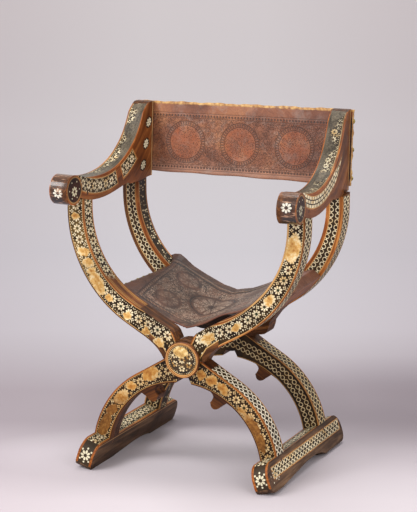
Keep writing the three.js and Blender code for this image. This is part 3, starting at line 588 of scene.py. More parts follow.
@dataclass(frozen=True)
class Patch:
    """A repaired place where the inlay is lost, on the front face."""

    x: float
    z: float
    length: float
    width: float
    turn: float


FRONT_PATCHES = tuple(Patch(*row) for row in (
    (-0.309, 0.660, 0.013, 0.008, -14),
    (-0.287, 0.568, 0.017, 0.011, -14),
    (-0.273, 0.539, 0.017, 0.012, -4),
    (-0.265, 0.519, 0.015, 0.008, 23),
    (-0.249, 0.493, 0.029, 0.017, -59),
    (-0.240, 0.472, 0.018, 0.013, -50),
    (-0.213, 0.452, 0.012, 0.009, -40),
    (-0.160, 0.410, 0.013, 0.011, 6),
    (-0.107, 0.374, 0.012, 0.010, -23),
    (-0.071, 0.347, 0.016, 0.012, -13),
    (-0.152, 0.222, 0.016, 0.011, 7),
    (-0.181, 0.186, 0.025, 0.016, 33),
    (-0.208, 0.150, 0.019, 0.013, 40),
    (-0.230, 0.106, 0.037, 0.015, 67),
    (-0.095, 0.260, 0.026, 0.017, 33),
    (0.050, 0.273, 0.013, 0.013, 7),
    (0.079, 0.261, 0.016, 0.014, 7),
    (0.111, 0.243, 0.018, 0.012, -50),
    (0.163, 0.192, 0.014, 0.008, -29),
    (0.192, 0.158, 0.032, 0.015, -51),
    (0.214, 0.117, 0.030, 0.014, -66),
    (0.298, 0.626, 0.036, 0.021, 75),
    (0.238, 0.489, 0.017, 0.013, 50),
    (0.147, 0.409, 0.014, 0.008, 37),
    (0.068, 0.372, 0.024, 0.013, 33),
))


class MemberPlace:
    """Where a point of the surface lies on the members of one frame."""

    def __init__(self, sizes: CrossedFrames, bench: Bench, is_front: bool) -> None:
        """Work the place out from the frames' sizes.

        Args:
            sizes: The frames.
            bench: The material's bench.
            is_front: Whether it is the front frame.
        """
        self.bench, self.is_front = bench, is_front
        self.x, self.y, self.z = bench.split(bench.place)
        self.nx, self.ny, self.nz = bench.split(bench.facing)
        self.on_face = abs(self.ny) > FACES
        self.front_face = self.ny < -FACES
        self.side_x = abs(self.x)
        self.is_upper = self.z > sizes.hip_height
        self.is_lower = 1.0 - self.is_upper
        self.is_right = self.x > 0.0
        self.drop = self.z - sizes.upper_centre
        self.rise = self.z - sizes.lower_centre
        self.inner_x = self.side_x - sizes.inner_offset
        self.upper_reach = self.x.length(self.drop)
        self.inner_reach = self.inner_x.length(self.drop)
        self.lower_reach = self.x.length(self.rise)
        self.depth = self.y - (sizes.front_middle if is_front else sizes.back_middle)
        self.side_margin = sizes.plank / 2 - abs(self.depth)
        self.worn = bench.cloud(38.0, 4.0, 0.6)
        self.measure_edges(sizes)

    def measure_edges(self, sizes: CrossedFrames) -> None:
        """Work out how far in from the member's edges the point lies, and how far along.

        The web over the hub and its bare corner are worked out for the front frame only.

        Args:
            sizes: The frames.
        """
        side_x, z = self.side_x, self.z
        toe = 0.0 if self.is_front else sizes.back_toe_in
        upper_margin = sizes.upper_outer - toe - self.upper_reach
        if self.is_front:
            sides = [sizes.beside(a, b, side_x, z) for a, b in zip(sizes.web, sizes.web[1:])]
            self.web = sides[0].most(sides[1]).most(sides[2])
            in_web = side_x < sizes.web[0][0]
            upper_margin = in_web * self.web + (1.0 - in_web) * upper_margin
            corner = in_web * self.is_upper * (side_x < sizes.corner_x[1])
            self.corner = corner * (0.015 - self.web).soft() * (side_x > sizes.corner_x[0])
        self.near_hip = side_x < sizes.shoulder[0][0]
        above_shoulder = -sizes.beside(*sizes.shoulder, side_x, z)
        lower_margin = sizes.lower_outer - self.lower_reach
        lower_margin = self.near_hip * above_shoulder + (1.0 - self.near_hip) * lower_margin
        self.outer = self.is_upper * upper_margin + self.is_lower * lower_margin
        upper_inside = self.inner_reach - sizes.upper_inner + toe
        lower_inside = self.lower_reach - sizes.lower_inner
        self.inner = self.is_upper * upper_inside + self.is_lower * lower_inside
        self.turned = (self.is_upper * side_x.turn(-self.drop) * sizes.upper_mean
                       + self.is_lower * side_x.turn(self.rise) * sizes.lower_mean)
        self.across = (self.outer - self.inner) * 0.5
        wall_x, wall_z = math.sin(sizes.wall_angle), math.cos(sizes.wall_angle)
        wall = side_x * wall_x - (z - sizes.hip_height) * wall_z
        wall = wall + (z > sizes.wall_top) * 1.0 + self.is_lower * 1.0
        self.margin = self.outer.least(self.inner).least(wall)

    def rounding(self, skin: float) -> tuple[Socket, Flow, Flow]:
        """The even facing of the curved sides, whose solids have flat facets.

        Args:
            skin: How near to a curve a point of it lies.

        Returns:
            The facing, and where the outer and the inner curve are.
        """
        bench, upper, lower = self.bench, self.is_upper, self.is_lower
        sign = self.is_right * 2.0 - 1.0
        in_x = upper * self.inner_x * sign / self.inner_reach + lower * self.x / self.lower_reach
        in_z = upper * self.drop / self.inner_reach + lower * self.rise / self.lower_reach
        out_x = upper * self.x / self.upper_reach + lower * self.x / self.lower_reach
        out_z = upper * self.drop / self.upper_reach + lower * self.rise / self.lower_reach
        on_outer = (self.nx * out_x + self.nz * out_z > 0.985) * (abs(self.outer) < skin)
        on_inner = (self.nx * in_x + self.nz * in_z < -0.985) * (abs(self.inner) < skin)
        round_side = on_outer.most(on_inner)
        smooth_x = out_x * on_outer - in_x * on_inner
        smooth_z = out_z * on_outer - in_z * on_inner
        curved = bench.joined(smooth_x, 1.0 - round_side, smooth_z)
        turned_out = bench.node("ShaderNodeVectorTransform", {
            "vector_type": "NORMAL", "convert_from": "OBJECT", "convert_to": "WORLD",
        }, {0: curved}).outputs[0]
        plain = bench.node("ShaderNodeNewGeometry").outputs["Normal"]
        links = {0: round_side, 4: plain, 5: turned_out}
        normal = bench.node("ShaderNodeMix", {"data_type": "VECTOR"}, links).outputs[1]
        return normal, on_outer, on_inner


@dataclass
class CrossedFrames:
    """The four crossing members, whose curves carry the inlay."""

    hip_height: float = 0.310
    upper_centre: float = 0.677
    upper_outer: float = 0.331
    upper_inner: float = 0.265
    inner_offset: float = 0.019
    lower_centre: float = 0.028
    lower_outer: float = 0.266
    lower_inner: float = 0.218
    back_toe_in: float = 0.011
    front_middle: float = -0.151
    back_middle: float = 0.145
    plank: float = 0.050
    upper_mean: float = 0.298
    lower_mean: float = 0.242
    wall_top: float = 0.380
    skin: float = 0.0015
    corner_x: tuple[float, float] = (0.052, 0.098)
    strip_x: float = 0.055
    strip_reach: float = 0.0135
    strip_taper: float = 0.0110
    bare_below: float = 0.505
    web: tuple = ((0.159, 0.3867), (0.108, 0.358), (0.076, 0.335), (0.057, 0.305))
    shoulder: tuple = ((0.133, 0.2584), (0.057, 0.3048))
    wall_angle: float = math.radians(65)

    @staticmethod
    def beside(a: tuple[float, float], b: tuple[float, float], x: Flow, z: Flow) -> Flow:
        """Distance from the line through two points, positive above a line drawn from right to left.

        Args:
            a: First point, in X and Z.
            b: Second point.
            x: Place across.
            z: Height.

        Returns:
            The signed distance.
        """
        run, rise = b[0] - a[0], b[1] - a[1]
        span = math.hypot(run, rise)
        return (x - a[0]) * (rise / span) - (z - a[1]) * (run / span)

    def patches(self, bench: Bench) -> tuple[Flow, Flow]:
        """Where the repaired places are on the front face.

        Args:
            bench: The material's bench.

        Returns:
            How near a point is to the middle of the nearest, and their mask.
        """
        links = {"Vector": bench.place, "Scale": 85.0, "Detail": 3.0}
        cloud = bench.node("ShaderNodeTexNoise", None, links)
        shake = bench.vector("MULTIPLY_ADD", cloud.outputs["Color"], (0.016, 0.0, 0.016), bench.place)
        moved = bench.vector("SUBTRACT", shake.outputs[0], (0.008, 0.0, 0.008)).outputs[0]
        nearest: Flow | None = None
        for patch in FRONT_PATCHES:
            laid = bench.node("ShaderNodeMapping", {"vector_type": "TEXTURE"}, {
                "Vector": moved,
                "Location": (patch.x, 0.0, patch.z),
                "Rotation": (0.0, math.radians(-patch.turn), 0.0),
                "Scale": (patch.length, 1000.0, patch.width),
            })
            reach = Flow(bench, bench.vector("LENGTH", laid.outputs[0]).outputs["Value"])
            nearest = reach if nearest is None else nearest.least(reach)
        assert nearest is not None
        return nearest, (1.0 - nearest).soft(0.16)

    @staticmethod
    def woods(at: MemberPlace) -> tuple[Socket, Socket, Flow]:
        """Draw the walnut of the faces and of their rims, with painted shade on some rims.

        Args:
            at: Where a point lies.

        Returns:
            Both colours, the rims' one with its painted shade, and the grain's height.
        """
        face_wood, grain = Grain(Wood.WALNUT).colour(at.turned, at.across, at.y)
        edge_wood, _ = Grain(Wood.EDGE, 9.0, 140.0).colour(at.turned, at.across, at.y)
        dark_wood, _ = Grain(Wood.DARK).colour(at.turned, at.depth, at.outer)
        # painted shade: the rims near the outer edge of the upper left curves and near the inner edge
        # of the lower curves take the dark walnut
        shaded = at.is_upper * (at.outer < at.inner) * (at.x < 0.0)
        shaded = shaded.most(at.is_lower * (at.inner < at.outer))
        return face_wood, at.bench.mix(shaded * 0.8, edge_wood, dark_wood), grain

    def face(self, at: MemberPlace, face_wood: Socket, rim_wood: Socket) -> tuple[Socket, Flow]:
        """Draw the flat faces, front and rear.

        Args:
            at: Where a point lies.
            face_wood: Walnut of the faces.
            rim_wood: Walnut of their rims.

        Returns:
            The colour, and the bone's mask.
        """
        bench = at.bench
        rim = 0.0052 if at.is_front else 0.0135
        wood = bench.mix((at.margin < rim) * (at.margin > -0.0005), face_wood, rim_wood)
        band, margin = Band(Pattern.STARS, edge=0.0028, pitch=0.029, radius=0.0118), at.margin
        if not at.is_front:
            band = Band(
                Pattern.CHAIN, edge=0.0090, pitch=0.0152, radius=0.0056, wear=0.1, row=0.0088,
                stroke=0.0019, inlay=Inlay(ground="1f150b", ground_worn="503b20"))
            margin = at.margin + at.is_lower * 0.0085
        face, bone = band.lay(wood, at.turned, at.across, margin, at.worn)
        specks = Band(Pattern.SPECKS, edge=0.006)
        rear, _ = specks.lay(wood, at.turned, at.across, at.margin, at.worn)
        face = bench.mix(at.ny > FACES, face, rear)
        in_curve = (at.margin > -0.0004) * at.on_face
        face = bench.mix(in_curve, face_wood, face)
        if at.is_front:
            face = self.front_marks(at, face, bone, face_wood, rim_wood)
        return face, bone * in_curve

    def front_marks(
        self, at: MemberPlace, face: Socket, bone: Flow, face_wood: Socket, rim_wood: Socket,
    ) -> Socket:
        """Add what only the front face has: a bare hub, an edge strip at the seat, a painted shadow
        and faded ground.

        Args:
            at: Where a point lies.
            face: The face with its band.
            bone: The band's bone.
            face_wood: Walnut of the faces.
            rim_wood: Walnut of their rims.

        Returns:
            The colour.
        """
        bench, x, inner = at.bench, at.x, at.inner
        lit = (at.web - 0.016).line(0.0012, 0.0008) * at.near_hip * at.is_upper
        lit = lit * (at.side_x < self.corner_x[1])
        face = bench.mix(at.corner * at.front_face, face, face_wood)
        face = bench.mix(lit * at.front_face, face, GOLD_LINE)
        reach_in = self.strip_reach - x.between(0.11, 0.20) * self.strip_taper
        strip = at.is_upper * (x > self.strip_x) * (reach_in - inner).soft(0.001) * at.front_face
        face = bench.mix(strip, face, rim_wood)
        twin = (inner - reach_in + 0.0008).line(0.0008, 0.0008)
        twin = twin.most((inner - reach_in * 0.45).line(0.0007, 0.0008) * 0.7)
        face = bench.mix(twin * strip, face, "e0b878")
        # painted shadow: a near-black line along the inner edge of the upper right curve, where the
        # seat leather's front edge leaves a gap
        gap_shadow = (0.0022 - inner).soft(0.0012) * (x > self.strip_x) * x.between(0.19, 0.13) * at.is_upper
        face = bench.mix(gap_shadow * at.front_face, face, NEAR_BLACK)
        faded = at.is_upper * x.between(-0.20, -0.27) * at.z.between(0.44, 0.52)
        faded = faded * (1.0 - bone) * (at.margin - 0.0055).soft() * at.worn.between(0.30, 0.55)
        return bench.mix(faded * 0.6, face, "7d6230")

    def inner_side(self, at: MemberPlace, side_wood: Socket, face_wood: Socket) -> tuple[Socket, Flow]:
        """Draw the side that looks into the curve.

        Args:
            at: Where a point lies.
            side_wood: Walnut of the sides.
            face_wood: Walnut of the faces.

        Returns:
            The colour, and the bone's mask.
        """
        bench = at.bench
        if not at.is_front:
            specks = Band(Pattern.SPECKS, edge=0.004, stretch=1.7)
            return specks.lay(side_wood, at.turned, at.depth, at.side_margin, at.worn)
        band = Band(Pattern.STARS, edge=0.0030, pitch=0.0280, radius=0.0113, stretch=1.6)
        side, bone = band.lay(side_wood, at.turned, at.depth, at.side_margin, at.worn)
        at_seat = (self.bare_below - at.z + (at.worn - 0.5) * 0.05).soft(0.02)
        strip = (at.side_margin - 0.006).line(0.0013, 0.0008)
        strip = strip.most((at.side_margin - 0.0125).line(0.0010, 0.0008))
        bare = bench.mix(strip * 0.8, bench.mix(0.65, side_wood, face_wood), "c99650")
        side = bench.mix(at_seat, side, bare)
        side = bench.mix(at.is_lower, side, face_wood)
        # painted shade: the inner side of the upper right curve turns near-black below the seat
        # leather
        under_leather_shade = at.is_upper * at.is_right * at.z.between(0.460, 0.440)
        return bench.mix(under_leather_shade * 0.95, side, "0d0704"), bone

    def sides(
        self, at: MemberPlace, face_wood: Socket, on_outer: Flow, on_inner: Flow,
    ) -> tuple[Socket, Flow, Flow, Flow]:
        """Draw the curved sides.

        Args:
            at: Where a point lies.
            face_wood: Walnut of the faces.
            on_outer: Where the outer curve is.
            on_inner: Where the inner curve is.

        Returns:
            The colour, where the outer side is inlaid, and the bone of the outer and inner side.
        """
        side_wood, _ = Grain(Wood.EDGE, 9.0, 120.0).colour(at.turned, at.depth, at.outer)
        chain = Band(
            Pattern.CHAIN, edge=0.0012, pitch=0.0160, radius=0.0052, wear=0.1, row=0.0112,
            stroke=0.0025, stretch=1.5)
        side_out, out_bone = chain.lay(side_wood, at.turned, at.depth, at.side_margin, at.worn)
        side_in, in_bone = self.inner_side(at, side_wood, face_wood)
        shoulder = at.is_lower * at.near_hip * (at.side_x > 0.078) * (abs(at.outer) < self.skin)
        inlaid = on_outer.most(shoulder * (1.0 - at.on_face))
        side = at.bench.mix(inlaid, face_wood, side_out)
        side = at.bench.mix(on_inner, side, side_in)
        return side, inlaid, out_bone * inlaid, in_bone * on_inner

    def repair(
        self, at: MemberPlace, grain: Flow, colour: Socket, rough: Flow, height: Flow,
    ) -> tuple[Socket, Flow, Flow]:
        """Fill the places of the front face where the inlay is lost.

        Args:
            at: Where a point lies.
            grain: The grain's height.
            colour: Colour so far.
            rough: Roughness so far.
            height: Height so far.

        Returns:
            All three with the repairs.
        """
        bench, worn = at.bench, at.worn
        nearest, patch = self.patches(bench)
        patch = patch * at.front_face * (at.margin - 0.0035).soft()
        fleck = bench.cloud(120.0, 4.0, 0.7)
        shade = nearest * 0.24 + fleck * 0.80 + (worn - 0.5) * 0.7 + 0.06
        gold = bench.ramp(shade, (0.2, "6e431c"), (0.42, "b37a3a"), (0.62, "d9ab62"), (0.88, "f8ecc4"))
        bare = bench.ramp(
            fleck * 0.7 + grain * 0.3, (0.3, "4f3114"), (0.5, "8a6030"), (0.68, "b48a4c"))
        filling = bench.mix(at.is_lower * (0.21 - at.z).between(0.0, 0.05), gold, bare)
        height = height * (1.0 - patch) + patch * (fleck * 0.5 + 0.35)
        return bench.mix(patch, colour, filling), rough + patch * 0.16, height

    def material(self, name: str, is_front: bool) -> bpy.types.Material:
        """Make the finish of the members of one frame.

        Args:
            name: The material's name.
            is_front: Whether it is the front frame.

        Returns:
            The finish.
        """
        bench = Bench(name)
        at = MemberPlace(self, bench, is_front)
        normal, on_outer, on_inner = at.rounding(self.skin)
        face_wood, rim_wood, grain = self.woods(at)
        face, face_bone = self.face(at, face_wood, rim_wood)
        side, inlaid, out_bone, in_bone = self.sides(at, face_wood, on_outer, on_inner)
        colour = bench.mix(at.on_face, side, face)
        bone = face_bone + out_bone + in_bone
        rough = at.worn.between(0.2, 0.8) * 0.2 + 0.36 - bone * 0.06
        height = grain * 0.25 + bone * 0.5 + at.worn * 0.3
        if is_front:
            colour, rough, height = self.repair(at, grain, colour, rough, height)
            # painted light: the bone on the outer side of the lower right curves is lightened
            colour = bench.mix(out_bone * at.is_lower * at.is_right * 0.6, colour, "fff4de")
        broad = bench.cloud(9.0, 2.0)
        colour = bench.shade(broad.between(0.62, 0.35) * 0.35, colour, "2b1d12")
        lowered = at.is_lower * (1.0 - inlaid) if is_front else at.is_lower
        colour = bench.shade(lowered, colour, "dccbb2" if is_front else "e6dccb")
        if not is_front:
            # painted shade on the upper part of the back frame's left member
            upper_left_shade = at.z.between(0.52, 0.70) * (at.x < 0.0)
            colour = bench.shade(upper_left_shade * 0.9, colour, "a3968c")
            # painted shadow: the back frame's front face turns near-black under the seat, around the
            # hub
            under_seat_shadow = at.is_upper * at.front_face * abs(at.x + 0.03).between(0.08, 0.06)
            colour = bench.mix(under_seat_shadow * (at.z < 0.43) * 0.85, colour, NEAR_BLACK)
        return bench.finish(colour, rough, height, 0.0007, normal, fixed={"Specular IOR Level": 0.16})

    def build(self) -> None:
        """Dress the four members."""
        front = self.material("front_inlaid_walnut", True)
        back = self.material("back_inlaid_walnut", False)
        for name, material in (("front", front), ("back", back)):
            for half in ("left", "right"):
                dress(f"{name}_member_{half}_arm", material)
        log.info("crossed frames: 4 members dressed")


class ArmPlace:
    """Where a point of the surface lies on an arm."""

    def __init__(self, sizes: Arms, bench: Bench, side: float) -> None:
        """Work the place out from the arms' sizes.

        Args:
            sizes: The arms.
            bench: The material's bench.
            side: Minus one for the left arm, one for the right.
        """
        self.bench, self.side = bench, side
        self.x, self.y, self.z = bench.split(bench.place)
        nx, self.ny, nz = bench.split(bench.facing)
        run, drop = self.y - sizes.sweep_y, sizes.sweep_z - self.z
        reach = run.length(drop)
        self.below = reach - sizes.sweep_radius
        self.along = run.turn(drop) * sizes.mean_radius
        self.across = self.x * side - (sizes.centre_x - (self.y - sizes.front_y) * sizes.toe)
        self.on_side = abs(nx * side) > FACES
        self.is_outer = nx * side > FACES
        self.is_top = ((nz * drop - self.ny * run) / reach).between(0.3, 0.6) * (self.below < 0.012)
        self.on_post = self.y.between(0.088, 0.093)
        self.from_scroll = (self.y - sizes.scroll_y).length(self.z - sizes.scroll_z)
        self.in_scroll = (sizes.scroll_radius + 0.0006 - self.from_scroll).soft(0.0006)
        self.worn = bench.cloud(34.0, 4.0, 0.62)


@dataclass
class Arms:
    """The two arms, with their scrolls and upswept posts."""

    sweep_y: float = -0.075
    sweep_z: float = 1.000
    sweep_radius: float = 0.244
    scroll_y: float = -0.2195
    scroll_z: float = 0.737
    scroll_radius: float = 0.039
    width: float = 0.047
    centre_x: float = 0.3075
    toe: float = 0.0623
    front_y: float = -0.151
    mean_radius: float = 0.27
    rear_y: float = 0.186
    rear_z: float = 0.714
    rear_lean: float = 0.059
    roundel_y: float = 0.137
    roundel_z: float = 0.749
    roundel_lean: float = 0.283
    roundel_pitch: float = 0.0565
    bead_circle: float = 0.0235

    def inner_side(self, at: ArmPlace, board: Socket, edge: Socket) -> tuple[Socket, Flow]:
        """Draw the side that looks over the seat, with a band of stars and roundels up the post.

        Args:
            at: Where a point lies.
            board: Walnut of the sides.
            edge: Paler walnut of the edges.

        Returns:
            The colour, and the bone's mask.
        """
        bench = at.bench
        middle = at.below - 0.027
        margin = (0.0235 - abs(middle)).least(0.183 - at.along)
        margin = margin.least((0.0760 - at.along).most(at.along - 0.0970))
        stars = Band(Pattern.STARS, edge=0.003, pitch=0.029, radius=0.0118)
        inlaid, bone = stars.lay(edge, at.along, middle, margin, at.worn)
        colour = bench.mix(margin > 0.0, board, inlaid)
        risen = at.z - self.roundel_z
        from_line = at.y - self.roundel_y - risen * self.roundel_lean
        up_post = risen + self.roundel_pitch / 2
        rosettes = Band(Pattern.ROSETTES, pitch=self.roundel_pitch, radius=0.0125)
        roundel, _, _ = rosettes.masks(up_post, from_line)
        spot = (0.0158 - from_line.length(up_post.repeat(self.roundel_pitch))).soft()
        reached = at.on_post * (abs(at.z - 0.8055) < 0.075)
        colour = bench.mix(spot * reached * 0.9, colour, "1f140c")
        return bench.mix(roundel * reached, colour, "f1e8c6"), bone

    @staticmethod
    def outer_side(at: ArmPlace, board: Socket, edge: Socket) -> tuple[Socket, Flow]:
        """Draw the side that looks away from the seat, with a band of dashes that narrows.

        Args:
            at: Where a point lies.
            board: Walnut of the sides.
            edge: Paler walnut of the edges.

        Returns:
            The colour, and the bone's mask.
        """
        middle = at.below - 0.024 - at.along.between(0.10, 0.21) * 0.004
        margin = 0.0165 - abs(middle) - at.along.between(0.15, 0.225) * 0.016
        dashes = Band(
            Pattern.DASHES, edge=0.0005, pitch=0.0210, radius=0.0083, wear=0.12, row=0.0102,
            stroke=0.0036)
        dashed, bone = dashes.lay(edge, at.along, middle, margin, at.worn)
        return at.bench.mix(margin > 0.0, board, dashed), bone

    def sides(self, at: ArmPlace, edge: Socket) -> tuple[Socket, Flow]:
        """Draw both flat sides.

        Args:
            at: Where a point lies.
            edge: Paler walnut of the edges.

        Returns:
            The colour, and the bone's mask.
        """
        bench = at.bench
        board, _ = Grain(Wood.POST, 5.0, 46.0).colour(at.along, at.below, at.across)
        inner, inner_bone = self.inner_side(at, board, edge)
        outer, outer_bone = self.outer_side(at, board, edge)
        colour = bench.mix(at.is_outer, inner, outer)
        colour = bench.mix((0.0050 - at.below).soft(0.001), colour, edge)
        rear = self.rear_y + (at.z - self.rear_z) * self.rear_lean - at.y
        rear_line = (rear - 0.006).line(0.0011, 0.0008) * at.on_post
        return bench.mix(rear_line, colour, "d8b883"), inner_bone * 0.5 + outer_bone * 0.5

    def top(self, at: ArmPlace, edge: Socket) -> tuple[Socket, Flow, Flow]:
        """Draw the worn top, where only clusters of the inlay are left, and the plain underside.

        Args:
            at: Where a point lies.
            edge: Paler walnut of the edges.

        Returns:
            The colour, the bone's mask and the grain's height.
        """
        bench, across = at.bench, at.across
        wood, grain = Grain(Wood.ARM, 10.0, 70.0).colour(at.along, across, at.below)
        cluster = (bench.cloud(15.0, 2.0) + across * 6.0 - 0.53).soft(0.06)
        wear, kept = (0.3, 1.0) if at.side < 0 else (0.36, 0.6)
        stars = Band(Pattern.STARS, edge=0.0035, pitch=0.024, radius=0.0092, wear=wear)
        margin = self.width / 2 - abs(across)
        inlaid, bone = stars.lay(wood, at.along, across, margin, at.worn)
        colour = bench.mix(cluster * kept, bench.mix(0.93, inlaid, wood), inlaid)
        colour = bench.mix((0.0026 - margin).soft(0.0012), colour, edge)
        under, _ = Grain(Wood.WALNUT).colour(at.along, across, at.below)
        return bench.mix(at.is_top, under, colour), bone * cluster * at.is_top, grain

    def scroll_end(self, at: ArmPlace, edge: Socket) -> Socket:
        """Draw the round end of the scroll, with its rosette and six beads.

        Args:
            at: Where a point lies.
            edge: Paler walnut of the edges.

        Returns:
            The colour.
        """
        bench, forward, up = at.bench, at.y - self.scroll_y, at.z - self.scroll_z
        rosette = Inlay().star(forward, up + 0.004, 0.0135)
        around = forward.turn(up) * self.bead_circle
        beads = Inlay().dots(
            around.repeat(self.bead_circle * math.tau / 6), at.from_scroll - self.bead_circle, 0.0019)
        colour = bench.mix(at.worn.between(0.3, 0.7), "1f110b", "4a2819")
        colour = bench.mix(rosette.petals.most(beads), colour, "d6ccaa")
        ring = (at.from_scroll - 0.0335).line(0.0016, 0.0008)
        colour = bench.mix(ring * 0.6, colour, "c99a5e")
        return bench.mix((at.from_scroll - 0.0352).soft(0.001), colour, edge)

    def drum(self, at: ArmPlace, edge: Socket) -> tuple[Socket, Flow]:
        """Draw the scroll's rounded front, polished and scratched by hands, with painted shade and
        sheen.

        Args:
            at: Where a point lies.
            edge: Paler walnut of the edges.

        Returns:
            The colour, and the grain's height.
        """
        bench, across, z = at.bench, at.across, at.z
        wood, grain = Grain(Wood.WALNUT, 30.0, 30.0).colour(across, at.y, z)
        # painted shade: the lower part of the drum turns near-black
        colour = bench.mix(z.between(0.712, 0.742), "140b07", wood)
        star_height = 0.733 if at.side < 0 else 0.745
        star = Inlay().star(across, (z - star_height) * 1.1, 0.0145)
        ahead = at.ny < -0.4
        colour = bench.mix((0.0150 - star.reach).soft(0.003) * ahead * 0.7, colour, "140b07")
        colour = bench.mix(star.petals * ahead, colour, "f4eeda")
        # pale scratches, which also serve as painted sheen on the polished drum
        drawn_out = bench.vector("MULTIPLY", bench.place, (40.0, 260.0, 260.0)).outputs[0]
        scratches_and_sheen = bench.noise(drawn_out, 1.0, 2.0)
        colour = bench.mix((scratches_and_sheen - 0.62).soft(0.05) * 0.7, colour, "c99a78")
        rim = (0.0022 - (self.width / 2 + 0.002 - abs(across))).soft(0.001)
        return bench.mix(rim, colour, edge), grain

    def material(self, name: str, side: float) -> bpy.types.Material:
        """Make the finish of one arm.

        Args:
            name: The material's name.
            side: Minus one for the left arm, one for the right.

        Returns:
            The finish.
        """
        bench = Bench(name)
        at = ArmPlace(self, bench, side)
        _, grain = Grain(Wood.WALNUT, 8.0, 80.0).colour(at.along, at.below, at.across)
        edge, _ = Grain(Wood.EDGE, 9.0, 120.0).colour(at.along, at.below, at.across)
        flat, flat_bone = self.sides(at, edge)
        over, top_bone, top_grain = self.top(at, edge)
        drum, drum_grain = self.drum(at, edge)
        gloss = at.in_scroll * (1.0 - at.on_side)
        colour = bench.mix(at.on_side, over, flat)
        colour = bench.mix(at.in_scroll * at.on_side, colour, self.scroll_end(at, edge))
        colour = bench.mix(gloss, colour, drum)
        broad = bench.cloud(11.0, 3.0)
        colour = bench.shade(broad.between(0.6, 0.35) * 0.4, colour, "3a281a")
        rough = at.worn * 0.3 + 0.28 - gloss * 0.1
        bone = flat_bone + top_bone
        height = grain * 0.25 + top_grain * 0.15 + drum_grain * 0.1 + at.worn * 0.35 + bone * 0.3
        return bench.finish(colour, rough, height, 0.0007, fixed={
            "Specular IOR Level": 0.2, "Coat Weight": gloss * 0.8, "Coat Roughness": 0.14,
        })

    def build(self) -> None:
        """Dress both arms."""
        for name, side in (("left_arm", -1.0), ("right_arm", 1.0)):
            dress(name, self.material(f"{name}_walnut", side))
        log.info("arms: 2 dressed")


@dataclass
class Runners:
    """The two canted runners under the legs."""

    foot_x: float = 0.2376
    foot_z: float = 0.0750
    cant: float = math.radians(18)
    width: float = 0.046
    front_y: float = -0.253
    back_y: float = 0.260
    tip_drop: float = 0.036
    tip_circle: float = 0.0185
    tip_half: float = 0.0165

    def material(self, name: str, side: float) -> bpy.types.Material:
        """Make the finish of one runner.

        Args:
            name: The material's name.
            side: Minus one for the left runner, one for the right.

        Returns:
            The finish.
        """
        bench = Bench(name)
        x, y, z = bench.split(bench.place)
        nx, ny, nz = bench.split(bench.facing)
        c, s = math.cos(self.cant), math.sin(self.cant)
        px = x * side - self.foot_x
        pz = z - self.foot_z
        across = px * c + pz * s
        down = px * s - pz * c
        face_out = nx * side * c + nz * s
        face_up = nz * c - nx * side * s
        is_outer = face_out > FACES
        is_inner = face_out < -FACES
        worn = bench.cloud(34.0, 4.0, 0.62)
        broad = bench.cloud(10.0, 3.0)
        wood, grain = Grain(Wood.RUNNER, 6.0, 70.0).colour(y, across, down)
        edge, _ = Grain(Wood.EDGE, 9.0, 120.0).colour(y, across, down)

        middle = down - 0.030
        margin = (0.0165 - abs(middle)).least(y - self.front_y - 0.030).least(self.back_y - y - 0.012)
        rings = Band(
            Pattern.CHAIN, edge=0.0008, pitch=0.0200, radius=0.0070, wear=0.1, row=0.0080,
            stroke=0.0036, stretch=0.82)
        ringed, out_bone = rings.lay(edge, y, middle, margin, worn)
        outer = bench.mix(margin > 0.0, wood, ringed)
        chips, _ = Inlay().scatter(y, down, 170.0, 0.5)
        chips = chips * (y - self.front_y - 0.040).line(0.024) * (down - self.tip_drop).line(0.020)
        outer = bench.mix(chips, outer, "e9e0c4")
        inner = bench.mix((down - 0.006).line(0.0012, 0.0008), wood, "c09060")
        top_margin = self.width / 2 - abs(across)
        strip = Band(Pattern.STARS, edge=0.004, pitch=0.021, radius=0.0095, wear=0.2)
        top, top_bone = strip.lay(edge, y * 0.6, across, top_margin, worn)
        nose_face = (ny < -0.35) * (1.0 - is_outer) * (1.0 - is_inner)
        tip = Inlay().star(across, down - self.tip_drop, 0.0142)
        ground = bench.mix(worn, "241c14", "4a3a28")
        circle = (down - self.tip_drop).turn(across) * self.tip_circle
        tip_dots = Inlay().dots(
            circle.repeat(self.tip_circle * math.tau / 8, 0.5), tip.reach - self.tip_circle, 0.0024)
        tip_field = bench.mix(across.line(self.tip_half), edge, ground)
        tip_bone = tip.petals.most(tip_dots * (abs(across) < self.tip_half))
        tip_field = bench.mix(tip_bone, tip_field, "e2d8b8")
        is_top = face_up.between(0.5, 0.75)
        over = bench.mix(is_top, wood, top)
        over = bench.mix(nose_face * (0.062 - down).soft(), over, tip_field)
        colour = bench.mix(is_outer, over, outer)
        colour = bench.mix(is_inner, colour, inner)
        low = z.between(0.014, 0.0)
        colour = bench.mix(low * 0.6, colour, "2c1d13")
        colour = bench.shade(broad.between(0.6, 0.35) * 0.4, colour, "3a281a")
        rough = worn * 0.3 + 0.34
        height = grain * 0.3 + worn * 0.35 + (out_bone * is_outer + top_bone * is_top) * 0.35
        return bench.finish(colour, rough, height, 0.0008, fixed={"Specular IOR Level": 0.16})

    def build(self) -> None:
        """Dress both runners."""
        for name, side in (("left_runner", -1.0), ("right_runner", 1.0)):
            dress(name, self.material(f"{name}_walnut", side))
        log.info("runners: 2 dressed")


